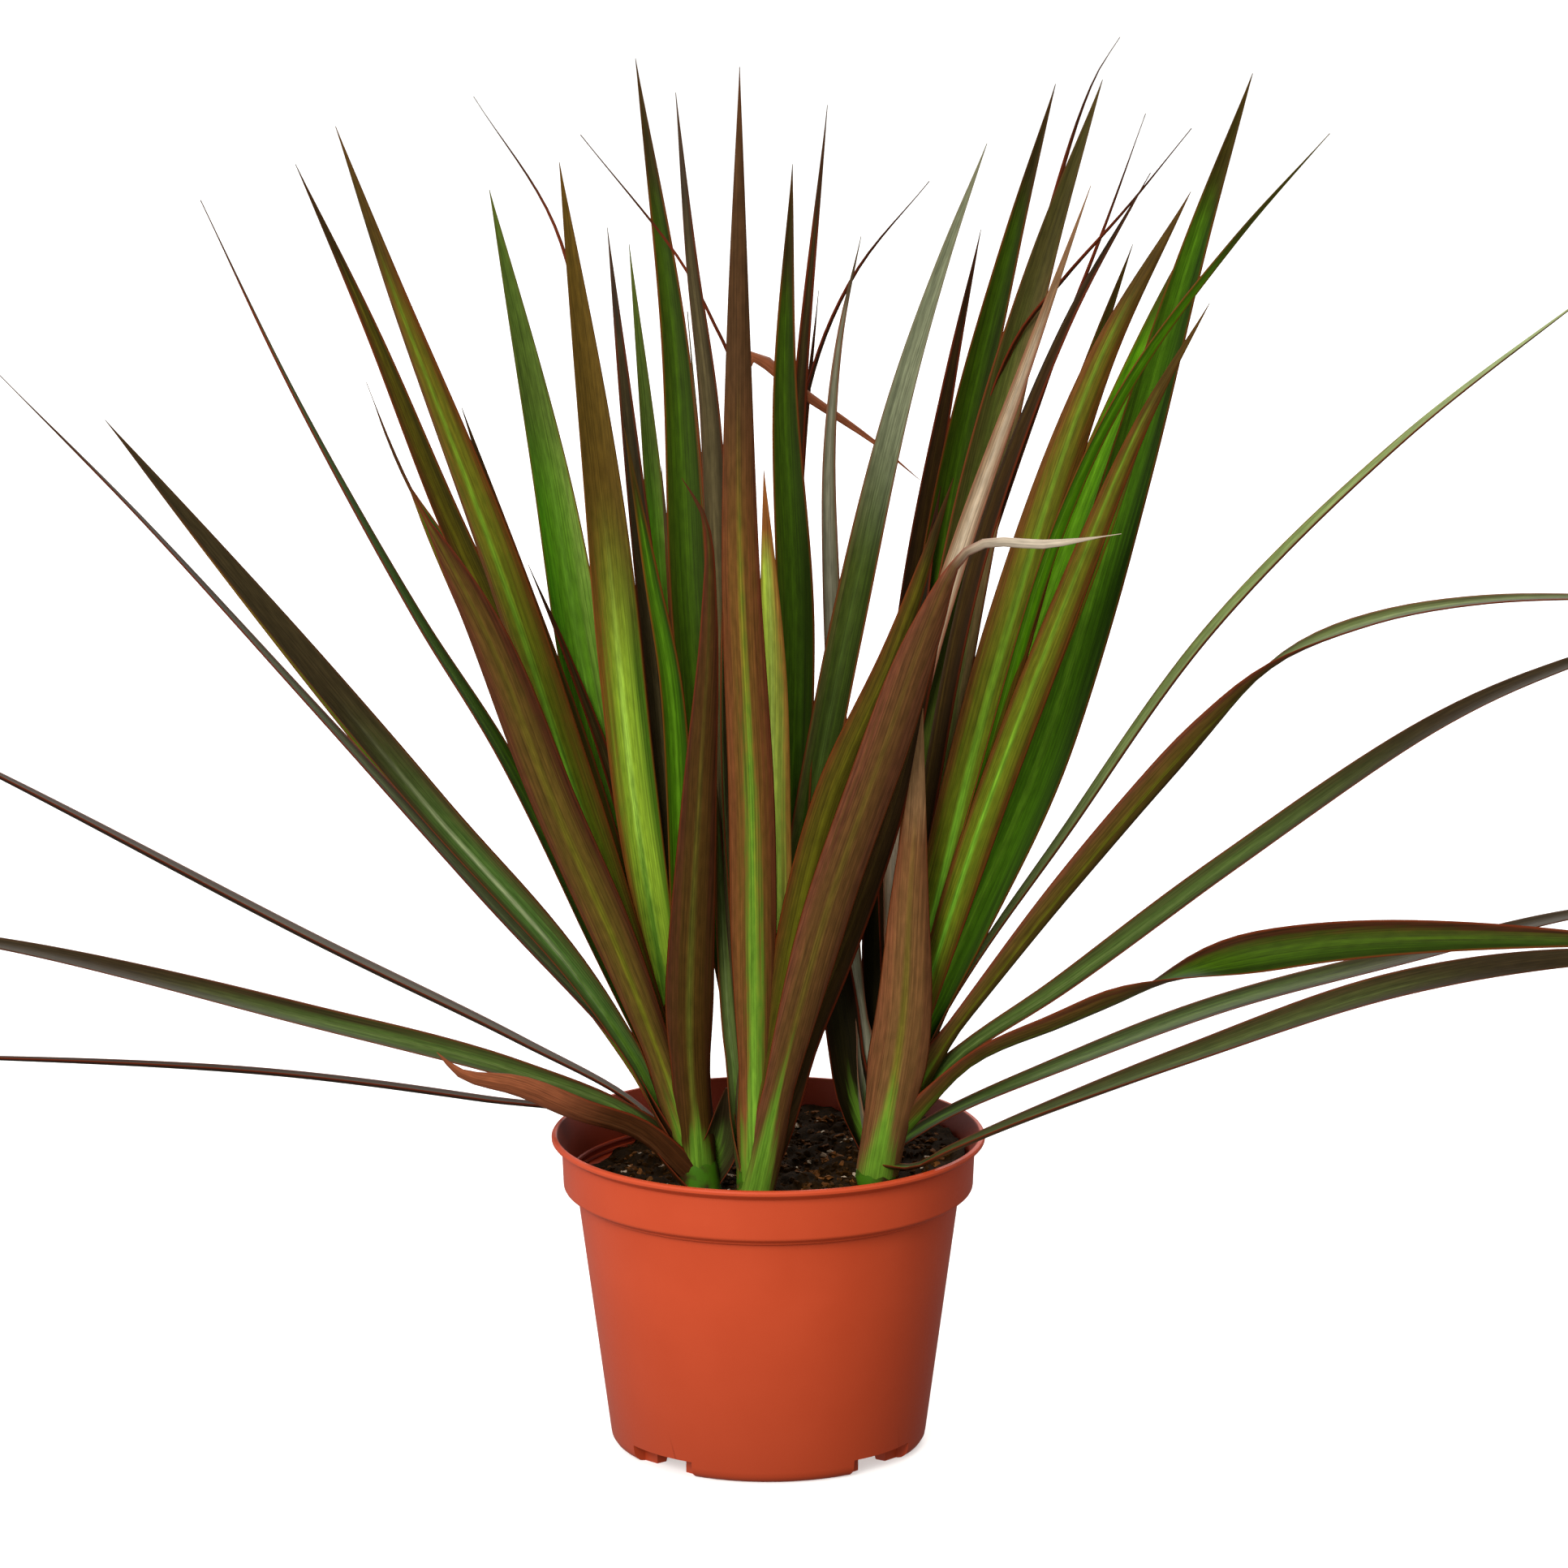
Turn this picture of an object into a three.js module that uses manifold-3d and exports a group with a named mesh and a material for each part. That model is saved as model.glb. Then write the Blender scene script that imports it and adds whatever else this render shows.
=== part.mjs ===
// A Madagascar dragon tree of three leafy shoots in a terracotta coloured plastic nursery pot.
// Millimetres, +Z up. The origin is the middle of the pot's foot, +X is to the right and -Y is the front.

import * as THREE from 'three';
import { mergeVertices } from 'three/addons/utils/BufferGeometryUtils.js';
import Module from 'manifold-3d';

const wasm = await Module();
wasm.setup();

// Pot
const POT_HEIGHT = 77;
const RIM_RADIUS = 52.5;
const RIM_THICKNESS = 1.6;
const COLLAR_RADIUS = 49.6;
const SHOULDER_HEIGHT = 64.7;
const BODY_TOP_RADIUS = 46.2;
const BODY_TOP_HEIGHT = 62;
const BODY_FOOT_RADIUS = 38.4;
const FOOT_RADIUS = 36.2;
const FOOT_CORNER = 3;
const WALL = 1.2;
const SHOULDER_BEVEL = 0.5;
const SHOULDER_DEPTH = 1;
const FOOT_RING_WIDTH = 4.5;
const FOOT_SLOPE = 1;
const COLLAR_FLARE = 0.4;
const RIM_BLEND = 0.6;
const RIM_BEVEL = 0.5;
const CENTRE_PAD_RADIUS = 17;
const FLOOR_LIFT = 3;
const FLOOR_THICKNESS = 1.4;
const NOTCH_HEIGHT = 3.6;
const NOTCH_ANGLE = 29;
const NOTCH_AZIMUTHS = [-43, 47, 137, 227];
const DRAIN_RADIUS = 3;
const DRAIN_CIRCLE = 24.5;
const CUT_MARGIN = 2;
const ROUND_SIDES = 48;

// Potting mix
const GAP = 0.3;
const MIX_TOP = 67.5;
const MIX_SLOPE_X = 0.1;
const MIX_SLOPE_Y = 0.045;
const MIX_LUMP = 0.9;
const LUMP_WAVE_X = 0.42;
const LUMP_WAVE_Y = 0.37;
const CROSS_LUMP = 0.6;
const CROSS_WAVE_X = 0.9;
const CROSS_WAVE_Y = 0.71;
const MIX_RINGS = 7;
const MIX_FOOT = -5;
const MIX_REACH = 5;
const STEM_CLEARANCE = 0.5;
const HOLE_DEPTH = 24;
const HOLE_SIDES = 16;

// Leaves
const BLADE_THICKNESS = 1;
const BLADE_CHANNEL = 0.16;
const SHEATH_SHARE = 0.5;
const TIP_FROM = 0.8;
const TIP_THICKNESS = 0.8;
const HIGHEST_ROOT = 0.94;
const PLAIN_STEPS = 8;
const BENT_STEPS = 12;
const MANY_POINTS = 5;
const STEM_SIDES = 10;
const STEM_SIZES = [1, 1, 1.04, 1, 0.8];
const BEHIND_TURN = 24;
const BEHIND_WIDTH = 0.86;

// The leaves were read off by eye from one side, as an x and a z in the upright plane through the
// pot's middle. EYE is where they were seen from. A leaf's depth is how far it lies behind that plane.
const EYE = new THREE.Vector3(3.8, -1800, 581);

const COLOURS = {
  pot: 0xc8512f,
  mix: 0x2b1c14,
  leftShoot: 0x4f6a22,
  frontShoot: 0x5d4a26,
  rightShoot: 0x466a1f,
};

// How leaves widen, taper and turn along their length, from 0 at the root to 1 at the tip. A thread is
// the share of its width that a dried tip keeps.
const STRAP = { widest: 0.36, taperFrom: 0.5, taperTo: 1, power: 1.6, thread: 0, turnFrom: 0, turnTo: 1 };
const SPIKE = { ...STRAP, widest: 0.24, taperFrom: 0.24, power: 0.95 };
const SPEAR = { ...STRAP, widest: 0.26, taperFrom: 0.26, power: 1.3 };
const LANCE = { ...SPEAR, power: 1.8 };
const THREAD_TIPPED = { ...STRAP, taperFrom: 0.55, taperTo: 0.83, power: 2.2, thread: 0.2 };
const FLIPPED_NEAR = { ...STRAP, turnFrom: 0.31, turnTo: 0.55 };
const FLIPPED_FAR = { ...STRAP, turnFrom: 0.42, turnTo: 0.66 };

// Each leaf: [height of its root up the stem, width, turn at the root, turn at the tip, its points].
// A turn of 0 shows the upper face to the front, 180 the lower face, and 90 or -90 the edge.
// A point is [x, z, depth], from the root outwards, and the last one is the tip.
// Last may come its shape, where it isn't a strap, and the depth of the tip of another leaf that is
// hidden right behind it.
const LEFT_LEAVES = [
  // the low ones, arching out to the left
  [8, 9, 78, 82, [[-32, 84, 0], [-60, 100, 16], [-110, 125.5, 44], [-183, 165, 84], [-240, 194, 112]]],
  [5, 8.5, 40, 58, [[-32, 80.5, -16], [-60, 92, -22], [-110, 105.5, -34], [-183, 123.5, -50],
    [-236, 131, -60]]],
  [4, 7, 80, 84, [[-38, 80, -4], [-70, 85.5, 12], [-120, 92, 34], [-183, 95.5, 62], [-232, 96, 84]]],
  [6, 8, 120, 160, [[-30, 77, -19], [-45, 82, -24], [-60, 88.3, -28], [-74, 91.5, -30], [-80, 97, -31]]],
  [14, 8, 62, 66, [[-35, 98.5, -12], [-70, 138, 4], [-110, 184, 26], [-150, 229.5, 50], [-182, 263, 68]],
    { shape: SPIKE }],
  [12, 11, 48, 36, [[-45, 115, -16], [-80, 156.5, -22], [-120, 206, -30], [-157, 252, -36]],
    { behind: 120 }],
  [16, 10, 52, 74, [[-62, 168, 4], [-84, 205, 18], [-112, 258, 40], [-133.5, 304.5, 58]]],
  // the upright ones
  [14, 11.5, 172, 168, [[-35, 120, -23], [-51, 158, -30], [-67, 200, -38], [-87, 240, -45],
    [-95, 261, -48]], { behind: 104 }],
  [18, 11, 160, 150, [[-47, 165, -14], [-64, 218, -16], [-88, 283, -14], [-101.5, 322, -10]]],
  [20, 9, 40, 36, [[-50, 168, -6], [-76, 228, 8], [-94, 274, 20], [-111, 313, 32]]],
  [20, 7, 165, 158, [[-42, 160, -9], [-58, 210, -2], [-72.5, 255, 5]]],
  [24, 4, 30, 30, [[-36, 160, -4], [-48, 195, 4], [-57, 217, 10]]],
  [24, 12.8, 12, 20, [[-41, 175, 2], [-52, 240, 22], [-65.5, 307, 42]], { behind: 122 }],
  [22, 12.5, 24, 20, [[-26, 120, -12], [-32, 160, -8], [-40, 240, 6], [-49, 313.5, 20]]],
  [26, 1.8, 30, 30, [[-30, 160, 4], [-42, 260, 30], [-50, 298, 40], [-69, 329, 50]]],
  [26, 6.5, 20, 16, [[-25, 170, 4], [-32.5, 245, 24], [-37.8, 298, 38]]],
  [24, 7, 25, 20, [[-20.5, 125, -14], [-23, 185, -12], [-28, 215, -8], [-34, 250, -4]]],
  [28, 6.5, 8, 0, [[-22.5, 170, 12], [-27.5, 240, 38], [-32.7, 294, 56]], { behind: 92 }],
  [26, 3.5, 10, 10, [[-20, 160, 6], [-22, 195, 18], [-25.3, 241, 32]]],
  // two that arch low behind the others, to the back left and straight back
  [7, 8, 82, 80, [[-34, 83, 4], [-60, 92, 30], [-110, 105.5, 72], [-178, 122.5, 122], [-214, 128, 146]]],
  [6, 9, -10, 16, [[-21, 92, 14], [-25, 116, 64], [-29, 134, 112], [-33, 147, 166]]],
  // the broad one in front, with its curled tip, and the small one at its foot
  [12, 12.5, 184, 176, [[-19, 105, -24], [-16.5, 160, -31], [-14, 205, -34], [-15, 228, -34],
    [-20.5, 238, -32]], { behind: 108, shape: SPEAR }],
  [5, 4.5, 10, 20, [[-11.5, 74, -19], [-10, 88, -20]]],
];

const FRONT_LEAVES = [
  [3, 12, 184, 176, [[5.5, 100, -31], [15, 135, -37], [27, 170, -43], [38, 202, -47], [46, 219, -49],
    [52, 222.3, -49], [66, 222, -48], [84, 224.5, -46]], { shape: THREAD_TIPPED }],
  [8, 12, 182, 176, [[-3.5, 120, -28], [-4, 160, -31], [-6.5, 215, -32.5], [-7, 270, -33],
    [-6.6, 336, -33]], { behind: 96, shape: LANCE }],
  [14, 9, 188, 176, [[6, 125, -28], [15, 160, -33], [30, 196, -38], [44, 238, -42]]],
  [8, 7, 158, 140, [[6, 87, -22], [10, 101, -21], [19.5, 126, -20], [31, 160, -18], [42, 205, -14]]],
  [10, 5, 30, 35, [[-8.5, 95, -23], [-10.5, 120, -20], [-12.5, 165, -17]]],
  [16, 8.5, 4, 0, [[0.5, 130, -20], [0.2, 160, -15], [0.3, 192, -10], [-2, 238, -4]], { behind: 122 }],
  [20, 4, 70, 80, [[-9, 135, -19], [-11, 180, -15], [-9, 250, -4]]],
  [20, 10, 6, 0, [[-14, 150, -8], [-18.5, 205, 8], [-22, 270, 28], [-31, 338, 48]], { behind: 134 }],
  [18, 7, 172, 160, [[-9.5, 150, -17], [-11.5, 205, -10], [-14, 255, 0], [-18, 290, 7], [-21.6, 330, 12]]],
  [18, 4, 80, 84, [[-11, 170, -12], [-14.5, 225, -3], [-19, 278, 8]]],
  [22, 1.8, 60, 60, [[-6, 180, -2], [-6.5, 230, 10], [-8, 264, 18], [-12.4, 274.5, 21], [-20.5, 290, 25],
    [-44, 320, 32]]],
  [20, 10, 0, 6, [[3.5, 130, -12], [6.5, 200, 4], [4, 260, 20], [5.8, 313, 32]], { behind: 112 }],
  [24, 5, 20, 10, [[5, 160, 4], [7, 250, 36], [14, 327, 60]]],
  [24, 4, 40, 30, [[5, 160, 8], [7, 230, 36], [12, 283, 56]]],
  [24, 3.2, 60, 60, [[4, 180, 12], [8.5, 255, 40], [20, 286, 52], [38, 309, 60]]],
  [24, 7.5, 80, 150, [[-4, 180, 8], [-6.5, 235, 28], [-7, 261, 37], [-4, 267.5, 40], [8.3, 258.5, 40],
    [25.4, 246.5, 38], [36, 237.5, 36]]],
  [20, 9, -10, -4, [[7.5, 140, -10], [18.5, 200, 2], [30.7, 255, 14], [41, 289, 22], [51.5, 318, 28]],
    { behind: 104 }],
  // one that arches low behind the others
  [7, 9, 12, -14, [[-3, 96, 20], [-4, 122, 72], [-6, 144, 122], [-5, 160, 172]]],
];

const RIGHT_LEAVES = [
  // the low ones, arching out to the right
  [5, 11, -82, -34, [[36, 68.6, -28], [43, 72.2, -32], [60, 79.8, -35], [100, 95.5, -42], [150, 113, -54],
    [190, 120, -63], [238, 121, -72]]],
  [8, 8, -50, -56, [[42, 81, -8], [70, 93.5, 4], [110, 109, 26], [160, 122.5, 54], [190, 130.5, 70],
    [236, 138, 94]]],
  [14, 11, -112, -8, [[50, 95.5, -20], [70, 104.5, -26], [90, 113.3, -33], [104, 118.5, -37],
    [125, 123, -43], [150, 125.4, -50], [190, 125.3, -60], [222, 123, -68]], { shape: FLIPPED_NEAR }],
  [16, 8.5, -44, -56, [[45, 95.5, -13], [70, 113, -8], [110, 143.5, 2], [160, 178.5, 16], [190, 192.5, 24],
    [240, 208, 36]]],
  [20, 8, -142, -62, [[50, 110, -14], [72, 139, -11], [104, 177, -6], [121, 193.5, -3], [142, 203, 0],
    [170, 208.3, 5], [224, 209, 14]], { shape: FLIPPED_FAR }],
  [22, 7, -72, -70, [[50, 120, -8], [70, 149.5, 6], [105, 200.5, 32], [150, 247, 62], [200, 287, 92]]],
  // the broad short one in front
  [3, 15.5, 178, 184, [[32.5, 105, -25], [34, 135, -29], [35.5, 160, -31], [37, 182, -32]],
    { behind: 132, shape: SPEAR }],
  // the upright ones
  [20, 13, 174, 166, [[42, 140, -16], [57, 200, -16], [78, 265, -14], [99.5, 306.5, -12]], { behind: 116 }],
  [24, 7, 130, 130, [[39, 165, -5], [50, 220, 4], [70, 274, 12], [90, 311, 18]]],
  [26, 6, 40, 40, [[38, 170, 4], [49, 230, 16], [62, 268, 24], [76, 308, 32]]],
  [24, 13, 8, 0, [[38, 160, 2], [50, 232, 24], [64, 288, 40], [78.5, 333, 52]], { behind: 132 }],
  [28, 3, 30, 30, [[42, 190, 16], [66, 300, 50], [76.5, 333, 60], [82.5, 343, 62]]],
  [26, 11, 10, 6, [[34, 160, 10], [45, 240, 36], [57, 293, 54], [67.5, 332, 66]]],
  [26, 7, 20, 20, [[29, 150, 14], [34, 208, 38], [43, 262, 60], [50.2, 297.5, 72]]],
  [30, 2.2, 40, 40, [[44, 190, 14], [66, 262, 40], [80, 300, 52], [88.7, 325, 60]]],
  [28, 2.6, 60, 60, [[46, 230, 26], [58, 270, 34], [70, 286, 34], [84, 302, 30], [99.5, 321.5, 24]]],
  [26, 8, 20, 20, [[46, 165, -3], [60, 216, 10], [77, 268, 24], [86, 294, 30]], { behind: 108 }],
  [24, 14, 18, 14, [[49, 130, -11], [66, 172, -6], [85, 238, 6], [100, 292, 16], [113.7, 334.5, 22]],
    { behind: 118 }],
  [26, 11, 0, 0, [[52, 165, 2], [72, 225, 18], [90, 272, 32], [105, 306, 42]]],
  [16, 6, 62, 50, [[50, 160, -17], [69, 226, -21], [86, 262, -24], [110, 295, -28], [132, 320.3, -32]]],
  [16, 9, 170, 160, [[50, 150, -20], [70, 205, -24], [88, 250, -28], [104.3, 280, -32]]],
  [20, 6, 6, 6, [[50, 150, -10], [64, 185, -10], [79, 222, -9], [92, 258, -8]]],
  // two that arch low behind the others, to the back right and straight back
  [12, 8, -80, -82, [[46, 96, -2], [70, 113, 30], [110, 143.5, 74], [160, 178.5, 118], [196, 195, 146]]],
  [7, 9, 10, -12, [[30.5, 97, 20], [33, 124, 68], [35, 147, 118], [36, 163, 164]]],
  // the ones in the shade behind the broad leaves of the middle
  [10, 9.5, 10, 0, [[20.5, 88, -12], [17, 110, -8], [11.5, 140, -1], [7.5, 166, 4]]],
  [14, 8, 10, 0, [[26, 100, -2], [26, 125, 6], [29, 160, 14], [35, 200, 22], [41, 236, 30]]],
  [16, 5.5, 30, 25, [[21.5, 112, -6], [17, 170, 8], [14.8, 215, 18], [14.5, 245, 24], [17, 272, 29],
    [22, 296, 33]]],
];

// Each shoot: the stem's points from its foot in the mix to its top, its radius and its leaves.
const SHOOTS = [
  {
    name: 'shoot_left',
    colour: COLOURS.leftShoot,
    stem: [[-16, -15, 66], [-18, -14.5, 80], [-22, -13, 104]],
    radius: 4.1,
    leaves: LEFT_LEAVES,
    seed: 11,
  },
  {
    name: 'shoot_front',
    colour: COLOURS.frontShoot,
    stem: [[-3, -23, 67], [-3, -23, 82], [-2.5, -20, 108]],
    radius: 3.8,
    leaves: FRONT_LEAVES,
    seed: 23,
  },
  {
    name: 'shoot_right',
    colour: COLOURS.rightShoot,
    stem: [[26, -16, 70], [28, -15.5, 84], [32, -13, 108]],
    radius: 4.3,
    leaves: RIGHT_LEAVES,
    seed: 37,
  },
];

// A repeatable draw from 0 to 1.
function drawer(seed) {
  const factor = 16807;
  const modulus = 2147483647;
  let state = seed;
  return () => {
    state = (state * factor) % modulus;
    return state / modulus;
  };
}

function smoothStep(from, to, value) {
  const share = Math.min(1, Math.max(0, (value - from) / (to - from)));
  return share * share * (3 - 2 * share);
}

// Solids and meshes

function toSolid(geometry) {
  const bare = geometry.index ? geometry.toNonIndexed() : geometry.clone();
  bare.deleteAttribute('normal');
  bare.deleteAttribute('uv');
  const merged = mergeVertices(bare, 1e-4);
  const mesh = new wasm.Mesh({
    numProp: 3,
    vertProperties: new Float32Array(merged.attributes.position.array),
    triVerts: new Uint32Array(merged.index.array),
  });
  return new wasm.Manifold(mesh);
}

function toGeometry(solid) {
  const mesh = solid.getMesh();
  const geometry = new THREE.BufferGeometry();
  geometry.setAttribute('position', new THREE.BufferAttribute(new Float32Array(mesh.vertProperties), 3));
  geometry.setIndex(new THREE.BufferAttribute(new Uint32Array(mesh.triVerts), 1));
  return geometry;
}

// Joins solids in one body, without the scraps and sealed hollows that joining can leave.
function fuse(solids) {
  const bodies = solids.reduce((whole, next) => whole.add(next)).decompose();
  return bodies.reduce((largest, body) => (body.volume() > largest.volume() ? body : largest));
}

// A closed solid through rings of points that all have the same number of points.
// The diagonals run from the edge of one ring to the middle of the next on both faces of a blade.
function loft(rings, tip) {
  const corners = [];
  const faces = [];
  rings.flat().forEach((point) => corners.push(point.x, point.y, point.z));
  const count = rings[0].length;
  for (let ring = 0; ring < rings.length - 1; ring += 1) {
    for (let side = 0; side < count; side += 1) {
      const a = ring * count + side;
      const b = ring * count + ((side + 1) % count);
      const c = b + count;
      const d = a + count;
      if (side % 2 === 0) {
        faces.push(a, b, c, a, c, d);
      } else {
        faces.push(a, b, d, b, c, d);
      }
    }
  }
  for (let side = 1; side < count - 1; side += 1) {
    faces.push(0, side + 1, side);
  }
  const last = (rings.length - 1) * count;
  const end = corners.length / 3;
  corners.push(tip.x, tip.y, tip.z);
  for (let side = 0; side < count; side += 1) {
    faces.push(last + side, last + ((side + 1) % count), end);
  }
  const geometry = new THREE.BufferGeometry();
  geometry.setAttribute('position', new THREE.Float32BufferAttribute(corners, 3));
  geometry.setIndex(faces);
  return geometry;
}

function lathe(profile) {
  const points = profile.map(([radius, height]) => new THREE.Vector2(radius, height));
  const geometry = new THREE.LatheGeometry(points, ROUND_SIDES);
  geometry.rotateX(Math.PI / 2);
  return geometry;
}

function uprightCylinder(radius, bottom, top, x, y, sides) {
  const geometry = new THREE.CylinderGeometry(radius, radius, top - bottom, sides);
  geometry.rotateX(Math.PI / 2);
  geometry.translate(x, y, (top + bottom) / 2);
  return geometry;
}

// Pot

// The inside of the pot, from the middle of its floor up to the rim, a gap smaller where one is given.
function innerProfile(gap) {
  const floor = FLOOR_LIFT + FLOOR_THICKNESS + gap;
  const inset = WALL + gap;
  return [
    [0, floor],
    [BODY_FOOT_RADIUS - inset - FOOT_SLOPE, floor],
    [BODY_FOOT_RADIUS - inset, floor + FOOT_SLOPE],
    [BODY_TOP_RADIUS - inset, BODY_TOP_HEIGHT + WALL],
    [COLLAR_RADIUS - inset, SHOULDER_HEIGHT + WALL],
    [COLLAR_RADIUS + COLLAR_FLARE - inset, POT_HEIGHT],
  ];
}

function potProfile() {
  const ringInner = FOOT_RADIUS - FOOT_RING_WIDTH;
  const under = [
    [0, 0],
    [CENTRE_PAD_RADIUS, 0],
    [CENTRE_PAD_RADIUS + FOOT_SLOPE, FLOOR_LIFT],
    [ringInner - FOOT_SLOPE, FLOOR_LIFT],
    [ringInner, 0],
    [FOOT_RADIUS, 0],
  ];
  const outside = [
    [BODY_FOOT_RADIUS, FOOT_CORNER],
    [BODY_TOP_RADIUS, BODY_TOP_HEIGHT],
    [COLLAR_RADIUS - SHOULDER_BEVEL, SHOULDER_HEIGHT - SHOULDER_DEPTH],
    [COLLAR_RADIUS, SHOULDER_HEIGHT],
    [COLLAR_RADIUS + COLLAR_FLARE, POT_HEIGHT - RIM_THICKNESS - RIM_BLEND],
    [RIM_RADIUS - RIM_BEVEL, POT_HEIGHT - RIM_THICKNESS],
    [RIM_RADIUS, POT_HEIGHT - RIM_THICKNESS / 2],
    [RIM_RADIUS - RIM_BEVEL, POT_HEIGHT],
  ];
  return [...under, ...outside, ...innerProfile(0).reverse()];
}

// A wedge that opens the foot ring from outside the pot in to the raised part of the floor.
function notch(azimuth) {
  const half = THREE.MathUtils.degToRad(NOTCH_ANGLE / 2);
  const turn = THREE.MathUtils.degToRad(azimuth - 90);
  const near = CENTRE_PAD_RADIUS + FOOT_SLOPE + CUT_MARGIN;
  const far = BODY_FOOT_RADIUS + CUT_MARGIN;
  const shape = new THREE.Shape();
  shape.moveTo(near * Math.cos(turn - half), near * Math.sin(turn - half));
  shape.lineTo(far * Math.cos(turn - half), far * Math.sin(turn - half));
  shape.lineTo(far * Math.cos(turn + half), far * Math.sin(turn + half));
  shape.lineTo(near * Math.cos(turn + half), near * Math.sin(turn + half));
  const depth = NOTCH_HEIGHT + CUT_MARGIN;
  const geometry = new THREE.ExtrudeGeometry(shape, { depth, bevelEnabled: false });
  geometry.translate(0, 0, -CUT_MARGIN);
  return geometry;
}

function drain(azimuth) {
  const turn = THREE.MathUtils.degToRad(azimuth - 90);
  const x = DRAIN_CIRCLE * Math.cos(turn);
  const y = DRAIN_CIRCLE * Math.sin(turn);
  const top = FLOOR_LIFT + FLOOR_THICKNESS + CUT_MARGIN;
  return uprightCylinder(DRAIN_RADIUS, -CUT_MARGIN, top, x, y, HOLE_SIDES);
}

function potSolid() {
  let solid = toSolid(lathe(potProfile()));
  NOTCH_AZIMUTHS.forEach((azimuth) => {
    solid = solid.subtract(toSolid(notch(azimuth)));
    solid = solid.subtract(toSolid(drain(azimuth)));
  });
  return solid;
}

// Potting mix

// The mix lies lower at the left and rises to the right and the back, with lumps all over.
function mixHeight(x, y) {
  const tilt = MIX_TOP + MIX_SLOPE_X * x + MIX_SLOPE_Y * y;
  const lumps = Math.sin(x * LUMP_WAVE_X + 1) * Math.cos(y * LUMP_WAVE_Y);
  const crossing = CROSS_LUMP * Math.sin(x * CROSS_WAVE_X - y * CROSS_WAVE_Y);
  return tilt + MIX_LUMP * (lumps + crossing);
}

function lumpyBlock() {
  const reach = RIM_RADIUS + MIX_REACH;
  const rings = [];
  for (let ring = 0; ring < MIX_RINGS; ring += 1) {
    const radius = reach * (1 - ring / MIX_RINGS);
    const points = [];
    for (let side = 0; side < ROUND_SIDES; side += 1) {
      const turn = (side / ROUND_SIDES) * Math.PI * 2;
      const x = radius * Math.cos(turn);
      const y = radius * Math.sin(turn);
      points.push(new THREE.Vector3(x, y, mixHeight(x, y)));
    }
    rings.push(points);
  }
  const foot = rings[0].map((point) => new THREE.Vector3(point.x, point.y, MIX_FOOT));
  return loft([foot, ...rings], new THREE.Vector3(0, 0, mixHeight(0, 0)));
}

function mixSolid() {
  const cavity = toSolid(lathe([...innerProfile(GAP), [0, POT_HEIGHT]]));
  let solid = cavity.intersect(toSolid(lumpyBlock()));
  SHOOTS.forEach(({ stem, radius }) => {
    const [x, y, z] = stem[0];
    const hole = uprightCylinder(radius + STEM_CLEARANCE, z - HOLE_DEPTH, POT_HEIGHT, x, y, HOLE_SIDES);
    solid = solid.subtract(toSolid(hole));
  });
  return solid;
}

// Shoots

function onSightLine([x, z, depth]) {
  const share = (depth - EYE.y) / -EYE.y;
  return new THREE.Vector3(x, 0, z).sub(EYE).multiplyScalar(share).add(EYE);
}

function stemCurve({ stem }) {
  return new THREE.CatmullRomCurve3(stem.map((point) => new THREE.Vector3(...point)));
}

// The stem is upright and of one thickness in its hole, and comes to a point among the leaves.
function stemSolid(shoot) {
  const [x, y, z] = shoot.stem[0];
  const curve = stemCurve(shoot);
  const centres = [new THREE.Vector3(x, y, z - HOLE_DEPTH + GAP), ...curve.getSpacedPoints(4)];
  const tip = centres.pop();
  const rings = centres.map((centre, index) => {
    const radius = shoot.radius * STEM_SIZES[index];
    return Array.from({ length: STEM_SIDES }, (_, side) => {
      const turn = (side / STEM_SIDES) * Math.PI * 2;
      return new THREE.Vector3(radius * Math.cos(turn), radius * Math.sin(turn), 0).add(centre);
    });
  });
  return toSolid(loft(rings, tip));
}

// Half the width along a leaf, as a share of half its greatest width: a narrow sheath, a long strap
// and a fine point.
function widthShare(along, { widest, taperFrom, taperTo, power, thread }) {
  const opening = SHEATH_SHARE + (1 - SHEATH_SHARE) * smoothStep(0, widest, along);
  const past = THREE.MathUtils.clamp((along - taperFrom) / (taperTo - taperFrom), 0, 1);
  return Math.max(opening * (1 - past ** power), thread);
}

// The direction that a blade's upper face looks in, at a point of its middle line.
function upperFace(place, tangent, turn) {
  const toEye = EYE.clone().sub(place).normalize();
  const front = toEye.addScaledVector(tangent, -toEye.dot(tangent)).normalize();
  const beside = new THREE.Vector3().crossVectors(tangent, front);
  const angle = THREE.MathUtils.degToRad(turn);
  return front.multiplyScalar(Math.cos(angle)).addScaledVector(beside, Math.sin(angle));
}

// A blade is a channelled strap: its two edges stand a little higher than its middle.
function bladeSolid(points, width, turns, shape) {
  const curve = new THREE.CatmullRomCurve3(points, false, 'centripetal');
  const steps = points.length > MANY_POINTS ? BENT_STEPS : PLAIN_STEPS;
  const rings = [];
  for (let step = 0; step < steps; step += 1) {
    const along = step / steps;
    const place = curve.getPointAt(along);
    const tangent = curve.getTangentAt(along);
    const turn = THREE.MathUtils.lerp(turns[0], turns[1], smoothStep(shape.turnFrom, shape.turnTo, along));
    const up = upperFace(place, tangent, turn);
    const side = new THREE.Vector3().crossVectors(tangent, up);
    const half = (width / 2) * widthShare(along, shape);
    const rise = half * BLADE_CHANNEL;
    const thick = along > TIP_FROM ? TIP_THICKNESS : BLADE_THICKNESS;
    rings.push([
      place.clone().addScaledVector(side, half).addScaledVector(up, rise),
      place.clone().addScaledVector(up, -rise - thick / 2),
      place.clone().addScaledVector(side, -half).addScaledVector(up, rise),
      place.clone().addScaledVector(up, thick / 2 - rise),
    ]);
  }
  return toSolid(loft(rings, curve.getPointAt(1)));
}

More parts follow.
